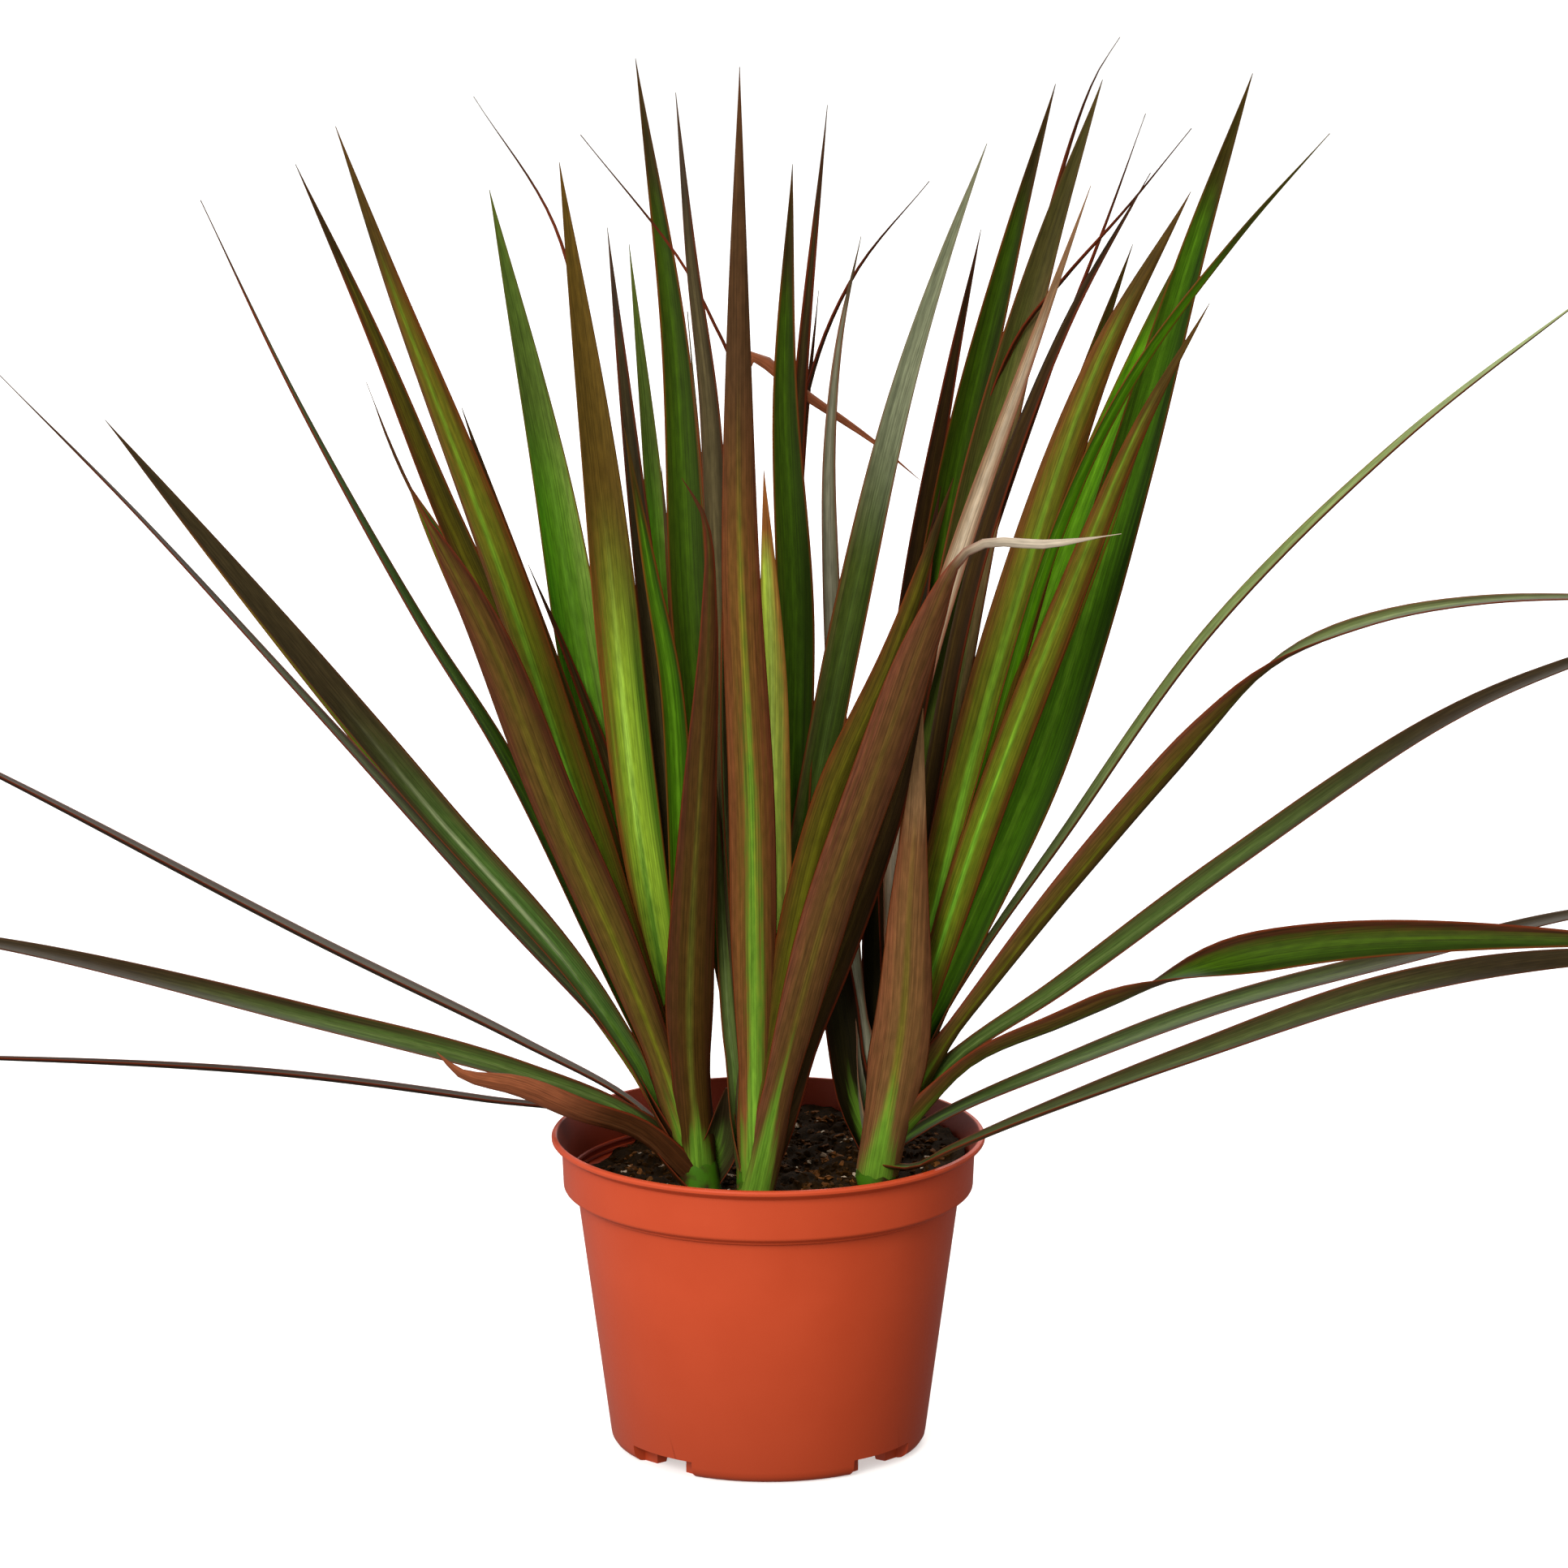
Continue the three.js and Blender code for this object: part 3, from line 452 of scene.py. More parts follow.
def new_object(name, data):
    """An object in the scene with that mesh, light or camera."""
    made = bpy.data.objects.new(name, data)
    bpy.context.scene.collection.objects.link(made)
    return made


def new_piece(name, points, faces, materials=(), edges=()):
    """A smooth mesh object at the origin from points in millimetres."""
    mesh = bpy.data.meshes.new(name)
    mesh.from_pydata([tuple(p) for p in np.asarray(points, float) * MM], edges, faces)
    for material in materials:
        mesh.materials.append(material)
    mesh.polygons.foreach_set("use_smooth", [True] * len(faces))
    return new_object(name, mesh)


def skin(count, sides):
    """Faces for a closed solid of count points: an end point, rings of points with that many sides, and
    the other end point."""
    last = count - 1
    faces = []
    for side in range(sides):
        beside = (side + 1) % sides
        faces.append((0, 1 + beside, 1 + side))
        for low in range(1, last - sides, sides):
            high = low + sides
            faces.append((low + side, low + beside, high + beside, high + side))
        faces.append((last - sides + side, last - sides + beside, last))
    return faces


def store(mesh, name, kind, values):
    """Keeps a number, a vector or a colour for each vertex as an attribute of the mesh."""
    field = {"FLOAT": "value", "FLOAT_VECTOR": "vector", "FLOAT_COLOR": "color"}[kind]
    attribute = mesh.attributes.new(name, kind, "POINT")
    attribute.data.foreach_set(field, np.ascontiguousarray(values, float).ravel())


def stored(mesh, name):
    """The numbers that an attribute of the mesh holds, one for each vertex."""
    values = np.zeros(len(mesh.vertices))
    mesh.attributes[name].data.foreach_get("value", values)
    return values


def bake_modifiers(piece):
    """Turns what the piece's modifiers make into its plain mesh, and removes them."""
    bpy.context.view_layer.update()
    evaluated = piece.evaluated_get(bpy.context.evaluated_depsgraph_get())
    finished = bpy.data.meshes.new_from_object(evaluated)
    piece.modifiers.clear()
    piece.data = finished
    finished.name = piece.name


def grow(piece, tree, **sizes):
    """Runs a Geometry Nodes tree on the piece with its named inputs, and keeps the plain mesh."""
    modifier = piece.modifiers.new(tree.name, "NODES")
    modifier.node_group = tree
    sockets = {s.name: s.identifier for s in tree.interface.items_tree if s.in_out == "INPUT"}
    for name, value in sizes.items():
        modifier[sockets[name.replace("_", " ").capitalize()]] = value
    bake_modifiers(piece)


def nodes_tree(name, inputs):
    """An empty Geometry Nodes tree with a geometry input, the named inputs and a geometry output."""
    tree = bpy.data.node_groups.new(name, "GeometryNodeTree")
    tree.interface.new_socket(name="Geometry", in_out="INPUT", socket_type="NodeSocketGeometry")
    for label, kind in inputs.items():
        tree.interface.new_socket(name=label, in_out="INPUT", socket_type="NodeSocket" + kind)
    tree.interface.new_socket(name="Geometry", in_out="OUTPUT", socket_type="NodeSocketGeometry")
    return tree


def keep(piece, slot, *nodes):
    """Puts a finished piece on the plant's one body, in place of the nodes that it stands for."""
    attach(piece, "root")
    if nodes:
        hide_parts(*nodes)


# Materials

# A mix node has sockets for each kind of value, and these are the ones that blend two colours.
FACTOR, FIRST, SECOND = 0, 6, 7
BLEND_COLOURS = {"data_type": "RGBA", "output": 2}

# For a map range that eases in and out.
SMOOTHLY = {"interpolation_type": "SMOOTHSTEP"}


def new_material(name):
    """A material with its node tree and its shader."""
    material = bpy.data.materials.new(name)
    material.use_nodes = True
    tree = material.node_tree
    return material, tree, tree.nodes["Principled BSDF"]


def moulded_polypropylene():
    """Injection moulded polypropylene, terracotta orange: an even satin skin with a faint grain from
    the mould, slightly cloudy in colour, that takes broad soft highlights. The real grain is too fine
    to show, so it is drawn coarser here."""
    material, tree, shader = new_material("moulded_polypropylene")
    place = add(tree, "ShaderNodeTexCoord", output="Object")
    cloud_size = 14
    grain_size = 0.55
    painted_shade_height = 48
    clouds = add(tree, "ShaderNodeTexNoise",
                 {"Vector": place, "Scale": 1 / (cloud_size * MM), "Detail": 3.0})
    unshaded = add(tree, "ShaderNodeMix",
                {FACTOR: clouds, FIRST: linear("#C94822"), SECOND: linear("#D4512B")}, **BLEND_COLOURS)

    # Painted shade: the colour deepens towards the foot.
    height = add(tree, "ShaderNodeSeparateXYZ", {0: place}, output="Z")
    low = add(tree, "ShaderNodeMapRange",
              {"Value": height, "From Min": painted_shade_height * MM, "From Max": 0.0, "To Max": 0.7})
    body = add(tree, "ShaderNodeMix", {FACTOR: low, FIRST: unshaded, SECOND: linear("#A63C1C")},
               **BLEND_COLOURS)

    # Painted shade: the inside of the wall is darker, standing in for the shade inside the pot.
    flat = add(tree, "ShaderNodeVectorMath", {0: place, 1: (1, 1, 0)}, operation="MULTIPLY")
    from_axis = add(tree, "ShaderNodeVectorMath", {0: flat}, output="Value", operation="LENGTH")
    normal = add(tree, "ShaderNodeNewGeometry", output="Normal")
    outwards = add(tree, "ShaderNodeVectorMath", {0: normal, 1: flat}, output="Value",
                   operation="DOT_PRODUCT")
    facing_in = add(tree, "ShaderNodeMath", {0: outwards, 1: from_axis}, operation="DIVIDE")
    inside = add(tree, "ShaderNodeMapRange",
                 {"Value": facing_in, "From Min": -0.6, "From Max": -0.1, "To Min": 0.72, "To Max": 0.0})
    colour = add(tree, "ShaderNodeMix", {FACTOR: inside, FIRST: body, SECOND: linear("#5A1C0E")},
                 **BLEND_COLOURS)
    grain = add(tree, "ShaderNodeTexNoise",
                {"Vector": place, "Scale": 1 / (grain_size * MM), "Detail": 2.0})
    rough = add(tree, "ShaderNodeMapRange", {"Value": grain, "To Min": 0.4, "To Max": 0.54})
    bump = add(tree, "ShaderNodeBump", {"Height": grain, "Strength": 0.12, "Distance": 0.1 * MM})
    feed(shader, {"Base Color": colour, "Roughness": rough, "Normal": bump, "IOR": 1.49,
                  "Specular IOR Level": 0.25})
    return material


def damp_peat():
    """Damp peat: near black between brown fibres and crumbs, without any gloss."""
    material, tree, shader = new_material("damp_peat")
    place = add(tree, "ShaderNodeTexCoord", output="Object")
    fibre_size = 1.1
    patch_size = 9
    fibres = add(tree, "ShaderNodeTexNoise",
                 {"Vector": place, "Scale": 1 / (fibre_size * MM), "Detail": 5.0, "Roughness": 0.7})
    patches = add(tree, "ShaderNodeTexNoise", {"Vector": place, "Scale": 1 / (patch_size * MM)})
    ramp = add(tree, "ShaderNodeMapRange", {"Value": fibres, "From Min": 0.38, "From Max": 0.72})
    peat = add(tree, "ShaderNodeMix",
               {FACTOR: ramp, FIRST: linear("#0F0902"), SECOND: linear("#40280F")}, **BLEND_COLOURS)
    colour = add(tree, "ShaderNodeMix", {FACTOR: patches, FIRST: peat, SECOND: linear("#180E03")},
                 **BLEND_COLOURS)
    bump = add(tree, "ShaderNodeBump", {"Height": fibres, "Strength": 0.8, "Distance": 0.5 * MM})
    feed(shader, {"Base Color": colour, "Roughness": 0.95, "Normal": bump, "Specular IOR Level": 0.1,
                  "Specular Tint": linear("#C09048")})
    return material


def mix_pieces(name, dark, light, roughness):
    """A kind of piece in the mix, such as bark or grit: each piece takes its own shade."""
    material, tree, shader = new_material(name)
    place = add(tree, "ShaderNodeTexCoord", output="Object")
    mottle_size = 0.9
    shade = add(tree, "ShaderNodeAttribute", output="Fac", attribute_name="shade")
    mottle = add(tree, "ShaderNodeTexNoise",
                 {"Vector": place, "Scale": 1 / (mottle_size * MM), "Detail": 4.0})
    both = add(tree, "ShaderNodeMath", {0: shade, 1: mottle}, operation="MULTIPLY")
    spread = add(tree, "ShaderNodeMapRange", {"Value": both, "From Max": 0.6})
    colour = add(tree, "ShaderNodeMix", {FACTOR: spread, FIRST: linear(dark), SECOND: linear(light)},
                 **BLEND_COLOURS)
    bump = add(tree, "ShaderNodeBump", {"Height": mottle, "Strength": 0.6, "Distance": 0.3 * MM})
    feed(shader, {"Base Color": colour, "Roughness": roughness, "Normal": bump,
                  "Specular IOR Level": 0.15, "Specular Tint": linear("#C09048")})
    return material


def waxy_leaf():
    """The waxy skin of the leaves: a satin gloss over fine lengthwise veins, a midrib that fades
    towards the tip, uneven lengthwise bands, a bright green foot and a thin red margin. Each leaf
    brings its own colours as attributes."""
    material, tree, shader = new_material("waxy_leaf")
    across, half, along, distance, foot_length, tip = (
        add(tree, "ShaderNodeAttribute", output="Fac", attribute_name=name)
        for name in ("across", "half_width", "along", "distance", "foot_length", "tip_share"))
    grain = add(tree, "ShaderNodeAttribute", output="Vector", attribute_name="grain")
    colours = {part: add(tree, "ShaderNodeAttribute", attribute_name=part + "_colour")
               for part in ("rib", "strap", "side", "tip")}
    off_centre = add(tree, "ShaderNodeMath", {0: across}, operation="ABSOLUTE")

    # Fine veins, broader uneven bands, and blotches: how wide and how long they are in millimetres, and
    # how much detail they have.
    noises = []
    for width, length, detail in ((0.3, 40, 2.0), (1.4, 70, 3.0), (0.9, 5, 4.0)):
        stretched = add(tree, "ShaderNodeMapping", {"Vector": grain, "Scale": (1 / width, 1 / length, 1)})
        noises.append(add(tree, "ShaderNodeTexNoise",
                          {"Vector": stretched, "Scale": 1.0, "Detail": detail}))
    veins, bands, blotches = noises

    # Towards the edge and towards the tip the strap takes the colour of its side.
    band_share = 0.9
    blotch_share = 0.35
    streaked = add(tree, "ShaderNodeMath", {0: bands, 1: band_share, 2: off_centre},
                   operation="MULTIPLY_ADD")
    wander = add(tree, "ShaderNodeMath", {0: blotches, 1: blotch_share, 2: streaked},
                 operation="MULTIPLY_ADD")
    edgeward = add(tree, "ShaderNodeMapRange", {"Value": wander, "From Min": 0.9, "From Max": 1.6},
                   **SMOOTHLY)
    outward = add(tree, "ShaderNodeMapRange",
                  {"Value": along, "From Min": 0.25, "From Max": 0.95, "To Max": 0.6}, **SMOOTHLY)
    to_side = add(tree, "ShaderNodeMath", {0: edgeward, 1: outward}, operation="ADD", use_clamp=True)
    strap = add(tree, "ShaderNodeMix",
                {FACTOR: to_side, FIRST: colours["strap"], SECOND: colours["side"]}, **BLEND_COLOURS)

    # The midrib shows most low down, and the bands break it up.
    near_rib = add(tree, "ShaderNodeMapRange",
                   {"Value": off_centre, "From Min": 0.02, "From Max": 0.22, "To Min": 1.0, "To Max": 0.0},
                   **SMOOTHLY)
    rib_fades = add(tree, "ShaderNodeMapRange",
                    {"Value": along, "From Min": 0.2, "From Max": 0.75, "To Min": 1.0, "To Max": 0.3},
                    **SMOOTHLY)
    uneven = add(tree, "ShaderNodeMapRange",
                 {"Value": bands, "From Min": 0.3, "From Max": 0.6, "To Min": 0.4})
    rib_share = add(tree, "ShaderNodeMath", {0: near_rib, 1: rib_fades}, operation="MULTIPLY")
    on_rib = add(tree, "ShaderNodeMath", {0: rib_share, 1: uneven}, operation="MULTIPLY")
    ribbed = add(tree, "ShaderNodeMix", {FACTOR: on_rib, FIRST: strap, SECOND: colours["rib"]},
                 **BLEND_COLOURS)

    # The foot of each leaf is bright green, in a wedge that narrows upwards.
    up_foot = add(tree, "ShaderNodeMath", {0: distance, 1: foot_length}, operation="DIVIDE")
    out_of_wedge = add(tree, "ShaderNodeMath", {0: up_foot, 1: wander}, operation="ADD")
    on_foot = add(tree, "ShaderNodeMapRange",
                  {"Value": out_of_wedge, "From Min": 0.9, "From Max": 1.4, "To Min": 0.95, "To Max": 0.0},
                  **SMOOTHLY)
    foot_green = add(tree, "ShaderNodeMix",
                     {FACTOR: bands, FIRST: linear("#2E5A0C"), SECOND: linear("#86B638")},
                     **BLEND_COLOURS)
    footed = add(tree, "ShaderNodeMix", {FACTOR: on_foot, FIRST: ribbed, SECOND: foot_green},
                 **BLEND_COLOURS)
    tipped = add(tree, "ShaderNodeMix", {FACTOR: tip, FIRST: footed, SECOND: colours["tip"]},
                 **BLEND_COLOURS)

    # The veins and the blotches are lighter and darker shades of all that.
    veiny = add(tree, "ShaderNodeMapRange",
                {"Value": veins, "From Min": 0.3, "From Max": 0.7, "To Min": 0.66, "To Max": 1.34})
    blotchy = add(tree, "ShaderNodeMapRange",
                  {"Value": blotches, "From Min": 0.35, "From Max": 0.7, "To Min": 0.82, "To Max": 1.2})
    shade = add(tree, "ShaderNodeMath", {0: veiny, 1: blotchy}, operation="MULTIPLY")
    veined = add(tree, "ShaderNodeVectorMath", {0: tipped, "Scale": shade}, operation="SCALE")

    # A margin about half a millimetre wide, redder than what it edges, and less so towards the tip.
    inward = add(tree, "ShaderNodeMath", {0: 1.0, 1: off_centre}, operation="SUBTRACT")
    from_edge = add(tree, "ShaderNodeMath", {0: inward, 1: half}, operation="MULTIPLY")
    on_edge = add(tree, "ShaderNodeMapRange",
                  {"Value": from_edge, "From Min": 0.1, "From Max": 0.75, "To Min": 0.8, "To Max": 0.0},
                  **SMOOTHLY)
    redness = add(tree, "ShaderNodeMapRange", {"Value": tip, "To Min": 0.65, "To Max": 0.15})
    red = add(tree, "ShaderNodeMix", {FACTOR: redness, FIRST: tipped, SECOND: linear("#862E14")},
              **BLEND_COLOURS)
    colour = add(tree, "ShaderNodeMix", {FACTOR: on_edge, FIRST: veined, SECOND: red}, **BLEND_COLOURS)

    rough = add(tree, "ShaderNodeMapRange", {"Value": bands, "To Min": 0.46, "To Max": 0.62})
    bump = add(tree, "ShaderNodeBump", {"Height": veins, "Strength": 0.35, "Distance": 0.12 * MM})
    feed(shader, {"Base Color": colour, "Roughness": rough, "Normal": bump, "IOR": 1.45,
                  "Specular IOR Level": 0.12, "Specular Tint": linear("#F2E2B8")})
    return material


def sheathed_stem():
    """The short stem under the leaves: pale green, browned where old sheaths have come away."""
    material, tree, shader = new_material("sheathed_stem")
    place = add(tree, "ShaderNodeTexCoord", output="Object")
    patch_size = 5
    patches = add(tree, "ShaderNodeTexNoise",
                  {"Vector": place, "Scale": 1 / (patch_size * MM), "Detail": 4.0})
    brown = add(tree, "ShaderNodeMapRange", {"Value": patches, "From Min": 0.45, "From Max": 0.65})
    colour = add(tree, "ShaderNodeMix",
                 {FACTOR: brown, FIRST: linear("#42700E"), SECOND: linear("#3A2A10")}, **BLEND_COLOURS)
    feed(shader, {"Base Color": colour, "Roughness": 0.6, "Specular IOR Level": 0.15})
    return material


# Pot

def arc(radius, height, bend, start, end):
    """Points of a round edge about a centre at that radius and height, from one angle in degrees to
    another."""
    angles = np.radians(np.linspace(start, end, ARC_STEPS))
    return [(radius + bend * math.cos(a), height + bend * math.sin(a)) for a in angles]


def bead(height):
    """Points of a low round ridge on the inside of the wall, from its top down."""
    radius = COLLAR_RADIUS - WALL
    half = BEAD_WIDTH / 2
    angles = np.radians(np.linspace(0, 180, ARC_STEPS))
    return [(radius - BEAD_STANDS * math.sin(a), height + half * math.cos(a)) for a in angles]


def pot_profile():
    """The pot's section, round from the middle of its underside and back to the middle of its floor."""
    ring_inner = FOOT_RADIUS - FOOT_RING_WIDTH
    collar_top = POT_HEIGHT - RIM_THICKNESS
    collar_rim = COLLAR_RADIUS + COLLAR_FLARE
    floor = FLOOR_LIFT + FLOOR_THICKNESS
    half_rim = RIM_THICKNESS / 2
    under = [(0, 0), (CENTRE_PAD_RADIUS, 0), (CENTRE_PAD_RADIUS + FOOT_SLOPE, FLOOR_LIFT),
             (ring_inner - FOOT_SLOPE, FLOOR_LIFT), (ring_inner, 0)]
    foot = arc(BODY_FOOT_RADIUS - FOOT_CORNER, FOOT_CORNER, FOOT_CORNER, start=-88, end=0)
    heights = np.linspace(FOOT_CORNER, BODY_TOP_HEIGHT, WALL_STEPS)[1:]
    radii = np.interp(heights, (FOOT_CORNER, BODY_TOP_HEIGHT), (BODY_FOOT_RADIUS, BODY_TOP_RADIUS))
    wall = list(zip(radii, heights))
    ledge = arc(BODY_TOP_RADIUS + LEDGE_WIDTH - LEDGE_EDGE, LEDGE_HEIGHT, LEDGE_EDGE, start=-80, end=0)
    collar = arc(COLLAR_RADIUS - SHOULDER_EDGE, SHOULDER_HEIGHT, SHOULDER_EDGE, start=-80, end=0)
    under_rim = [(collar_rim, collar_top - RIM_BLEND), (RIM_RADIUS - RIM_BLEND, collar_top - RIM_UNDERCUT)]
    rim = arc(RIM_RADIUS - half_rim, POT_HEIGHT - half_rim, half_rim, start=-60, end=90)
    lip = arc(RIM_RADIUS - LIP_WIDTH, POT_HEIGHT - LIP_EDGE, LIP_EDGE, start=90, end=170)
    under_lip = [(collar_rim - WALL, POT_HEIGHT - LIP_DEPTH)]
    beads = [point for height in BEAD_HEIGHTS for point in bead(height)]
    inside = [(BODY_TOP_RADIUS - WALL, BODY_TOP_HEIGHT + WALL),
              (BODY_FOOT_RADIUS - WALL, floor + FOOT_SLOPE),
              (BODY_FOOT_RADIUS - WALL - FOOT_SLOPE, floor), (0, floor)]
    outside = under + foot + wall + ledge + collar + under_rim + rim
    return outside + lip + under_lip + beads + inside


def lathe(profile, sides):
    """Points and faces of a solid of revolution whose profile starts and ends on the axis."""
    points = [(0, 0, profile[0][1])]
    for radius, height in profile[1:-1]:
        points.extend((*around(radius, a), height) for a in all_round(sides))
    points.append((0, 0, profile[-1][1]))
    return points, skin(len(points), sides)


def cut(piece, points, faces):
    """Takes a closed solid out of the piece."""
    cutter = new_piece("cutter", points, faces)
    modifier = piece.modifiers.new("cut", "BOOLEAN")
    modifier.operation = "DIFFERENCE"
    modifier.solver = "EXACT"
    modifier.object = cutter
    bake_modifiers(piece)
    bpy.data.objects.remove(cutter)


def prism(outline, bottom, top):
    """Points and faces of an upright solid with that outline."""
    count = len(outline)
    points = [(x, y, z) for z in (bottom, top) for x, y in outline]
    faces = [tuple(range(count))[::-1], tuple(range(count, 2 * count))]
    for side in range(count):
        beside = (side + 1) % count
        faces.append((side, beside, count + beside, count + side))
    return points, faces


def make_pot():
    """The pot, turned in one piece. Each notch is cut with a drain hole on the same side of the floor."""
    points, faces = lathe(pot_profile(), POT_SIDES)
    pot = new_piece("nursery_pot", points, faces, [moulded_polypropylene()])
    gap_from = FOOT_RADIUS - FOOT_RING_WIDTH - FOOT_SLOPE
    recess_from = FOOT_RADIUS - NOTCH_RECESS
    far = BODY_FOOT_RADIUS + CUT_MARGIN
    for azimuth in NOTCH_AZIMUTHS:
        turn = math.radians(azimuth - 90)
        for near, angle in ((gap_from, NOTCH_GAP_ANGLE), (recess_from, NOTCH_ANGLE)):
            half = math.radians(angle / 2)
            wedge = [around(near, turn - half), around(far, turn - half), around(far, turn + half),
                     around(near, turn + half)]
            cut(pot, *prism(wedge, -CUT_MARGIN, NOTCH_HEIGHT))
        x, y = around(DRAIN_CIRCLE, turn)
        hole = [(x + dx, y + dy) for dx, dy in (around(DRAIN_RADIUS, a) for a in all_round(DRAIN_SIDES))]
        cut(pot, *prism(hole, -CUT_MARGIN, FLOOR_LIFT + FLOOR_THICKNESS + CUT_MARGIN))
    pot.data.set_sharp_from_angle(angle=math.radians(SHARP_ANGLE))
    keep(pot, "pot_plastic", "pot")


# Potting mix

def mix_height(x, y):
    """The mix lies lower at the left and rises to the right and the back, with lumps and crumbs."""
    tilt = MIX_TOP + MIX_SLOPE_X * x + MIX_SLOPE_Y * y
    lumps = math.sin(x * LUMP_WAVE_X + LUMP_SHIFT) * math.cos(y * LUMP_WAVE_Y)
    crossing = CROSS_LUMP * math.sin(x * CROSS_WAVE_X - y * CROSS_WAVE_Y)
    clod_layer = 0
    crumb_layer = 7
    clods = noise.noise(Vector((x, y, clod_layer)) / CLOD_SIZE)
    crumbs = noise.noise(Vector((x, y, crumb_layer)) / CRUMB_SIZE)
    return tilt + LUMP_HEIGHT * (lumps + crossing) + CLOD_HEIGHT * clods + CRUMB_HEIGHT * crumbs


def inner_radius(height):
    """The radius of the pot's inside at that height."""
    floor = FLOOR_LIFT + FLOOR_THICKNESS
    collar = COLLAR_RADIUS - BEAD_STANDS
    heights = (floor + FOOT_SLOPE, BODY_TOP_HEIGHT + WALL, SHOULDER_HEIGHT + WALL, POT_HEIGHT)
    radii = (BODY_FOOT_RADIUS, BODY_TOP_RADIUS, collar, collar)
    return float(np.interp(height, heights, radii)) - WALL - MIX_GAP


def make_mix_body():
    """A closed lump that fills the pot, with a fine rough top. The outermost ring of the top keeps the
    height that its radius was worked out for, so that it stays clear of the wall."""
    angles = all_round(MIX_SIDES)
    foot = FLOOR_LIFT + FLOOR_THICKNESS + FOOT_SLOPE + MIX_GAP
    points = [(0, 0, foot)]
    for height in np.linspace(foot, MIX_SHOULDER, MIX_WALL_STEPS):
        points.extend((*around(inner_radius(height), a), height) for a in angles)
    for ring in range(MIX_RINGS):
        share = 1 - ring / MIX_RINGS
        for angle in angles:
            x, y = around(share * BODY_TOP_RADIUS, angle)
            height = mix_height(x, y)
            x, y = around(share * inner_radius(height), angle)
            points.append((x, y, mix_height(x, y) if share < 1 else height))
    points.append((0, 0, mix_height(0, 0)))
    return new_piece("peat_mix", points, skin(len(points), MIX_SIDES), [damp_peat()])


def scatter_tree():
    """Strews chips over the piece's upper faces, each turned, sized and knocked out of shape. A chip is
    one metre across before it gets its size, and its tilt is in radians."""
    tree = nodes_tree("scatter_chips", {
        "Size": "Float", "Flatness": "Float", "Count per square metre": "Float", "Reach": "Float",
        "Seed": "Int", "Material": "Material"})
    least_upward = 0.3
    dent_size = 1.1
    tilt = 0.5
    smallest = (0.5, 0.4, 0.3)
    largest = (1.5, 1.1, 0.8)
    darkest = 0.2
    palest = 1.0
    given = add(tree, "NodeGroupInput").node.outputs
    place = add(tree, "GeometryNodeInputPosition")
    flat = add(tree, "ShaderNodeVectorMath", {0: place, 1: (1, 1, 0)}, operation="MULTIPLY")
    from_axis = add(tree, "ShaderNodeVectorMath", {0: flat}, output="Value", operation="LENGTH")
    inside = add(tree, "FunctionNodeCompare", {0: from_axis, 1: given["Reach"]}, operation="LESS_THAN")
    up = add(tree, "ShaderNodeSeparateXYZ", {0: add(tree, "GeometryNodeInputNormal")}, output="Z")
    upwards = add(tree, "FunctionNodeCompare", {0: up, 1: least_upward}, operation="GREATER_THAN")
    there = add(tree, "FunctionNodeBooleanMath", {0: inside, 1: upwards}, operation="AND")
    points = add(tree, "GeometryNodeDistributePointsOnFaces",
                 {"Mesh": given["Geometry"], "Selection": there, "Density": given["Count per square metre"],
                  "Seed": given["Seed"]})
    chip = add(tree, "GeometryNodeMeshIcoSphere", {"Radius": 0.5, "Subdivisions": 2})
    turn = add(tree, "FunctionNodeRandomValue",
               {0: (-tilt, -tilt, 0), 1: (tilt, tilt, 2 * math.pi), "Seed": given["Seed"]},
               data_type="FLOAT_VECTOR")
    scale = add(tree, "FunctionNodeRandomValue", {0: smallest, 1: largest, "Seed": given["Seed"]},
                data_type="FLOAT_VECTOR")
    squash = add(tree, "ShaderNodeCombineXYZ", {0: 1.0, 1: 1.0, 2: given["Flatness"]})
    squashed = add(tree, "ShaderNodeVectorMath", {0: scale, 1: squash}, operation="MULTIPLY")
    sized = add(tree, "ShaderNodeVectorMath", {0: squashed, "Scale": given["Size"]}, operation="SCALE")
    chips = add(tree, "GeometryNodeInstanceOnPoints",
                {"Points": points, "Instance": chip, "Rotation": turn, "Scale": sized})
    shade = add(tree, "FunctionNodeRandomValue", {2: darkest, 3: palest, "Seed": given["Seed"]},
                output=1, data_type="FLOAT")
    shaded = add(tree, "GeometryNodeStoreNamedAttribute",
                 {"Geometry": chips, "Name": "shade", "Value": shade},
                 data_type="FLOAT", domain="INSTANCE")
    loose = add(tree, "GeometryNodeRealizeInstances", {"Geometry": shaded})
    dents = add(tree, "ShaderNodeTexNoise", {"Vector": place, "Scale": 1 / (dent_size * MM)},
                output="Color")
    centred = add(tree, "ShaderNodeVectorMath", {0: dents, 1: (0.5, 0.5, 0.5)}, operation="SUBTRACT")
    dented = add(tree, "ShaderNodeVectorMath", {0: centred, "Scale": given["Size"]}, operation="SCALE")
    knocked = add(tree, "GeometryNodeSetPosition", {"Geometry": loose, "Offset": dented})
    finished = add(tree, "GeometryNodeSetMaterial",
                   {"Geometry": knocked, "Material": given["Material"]})
    add(tree, "NodeGroupOutput", {"Geometry": finished})
    return tree


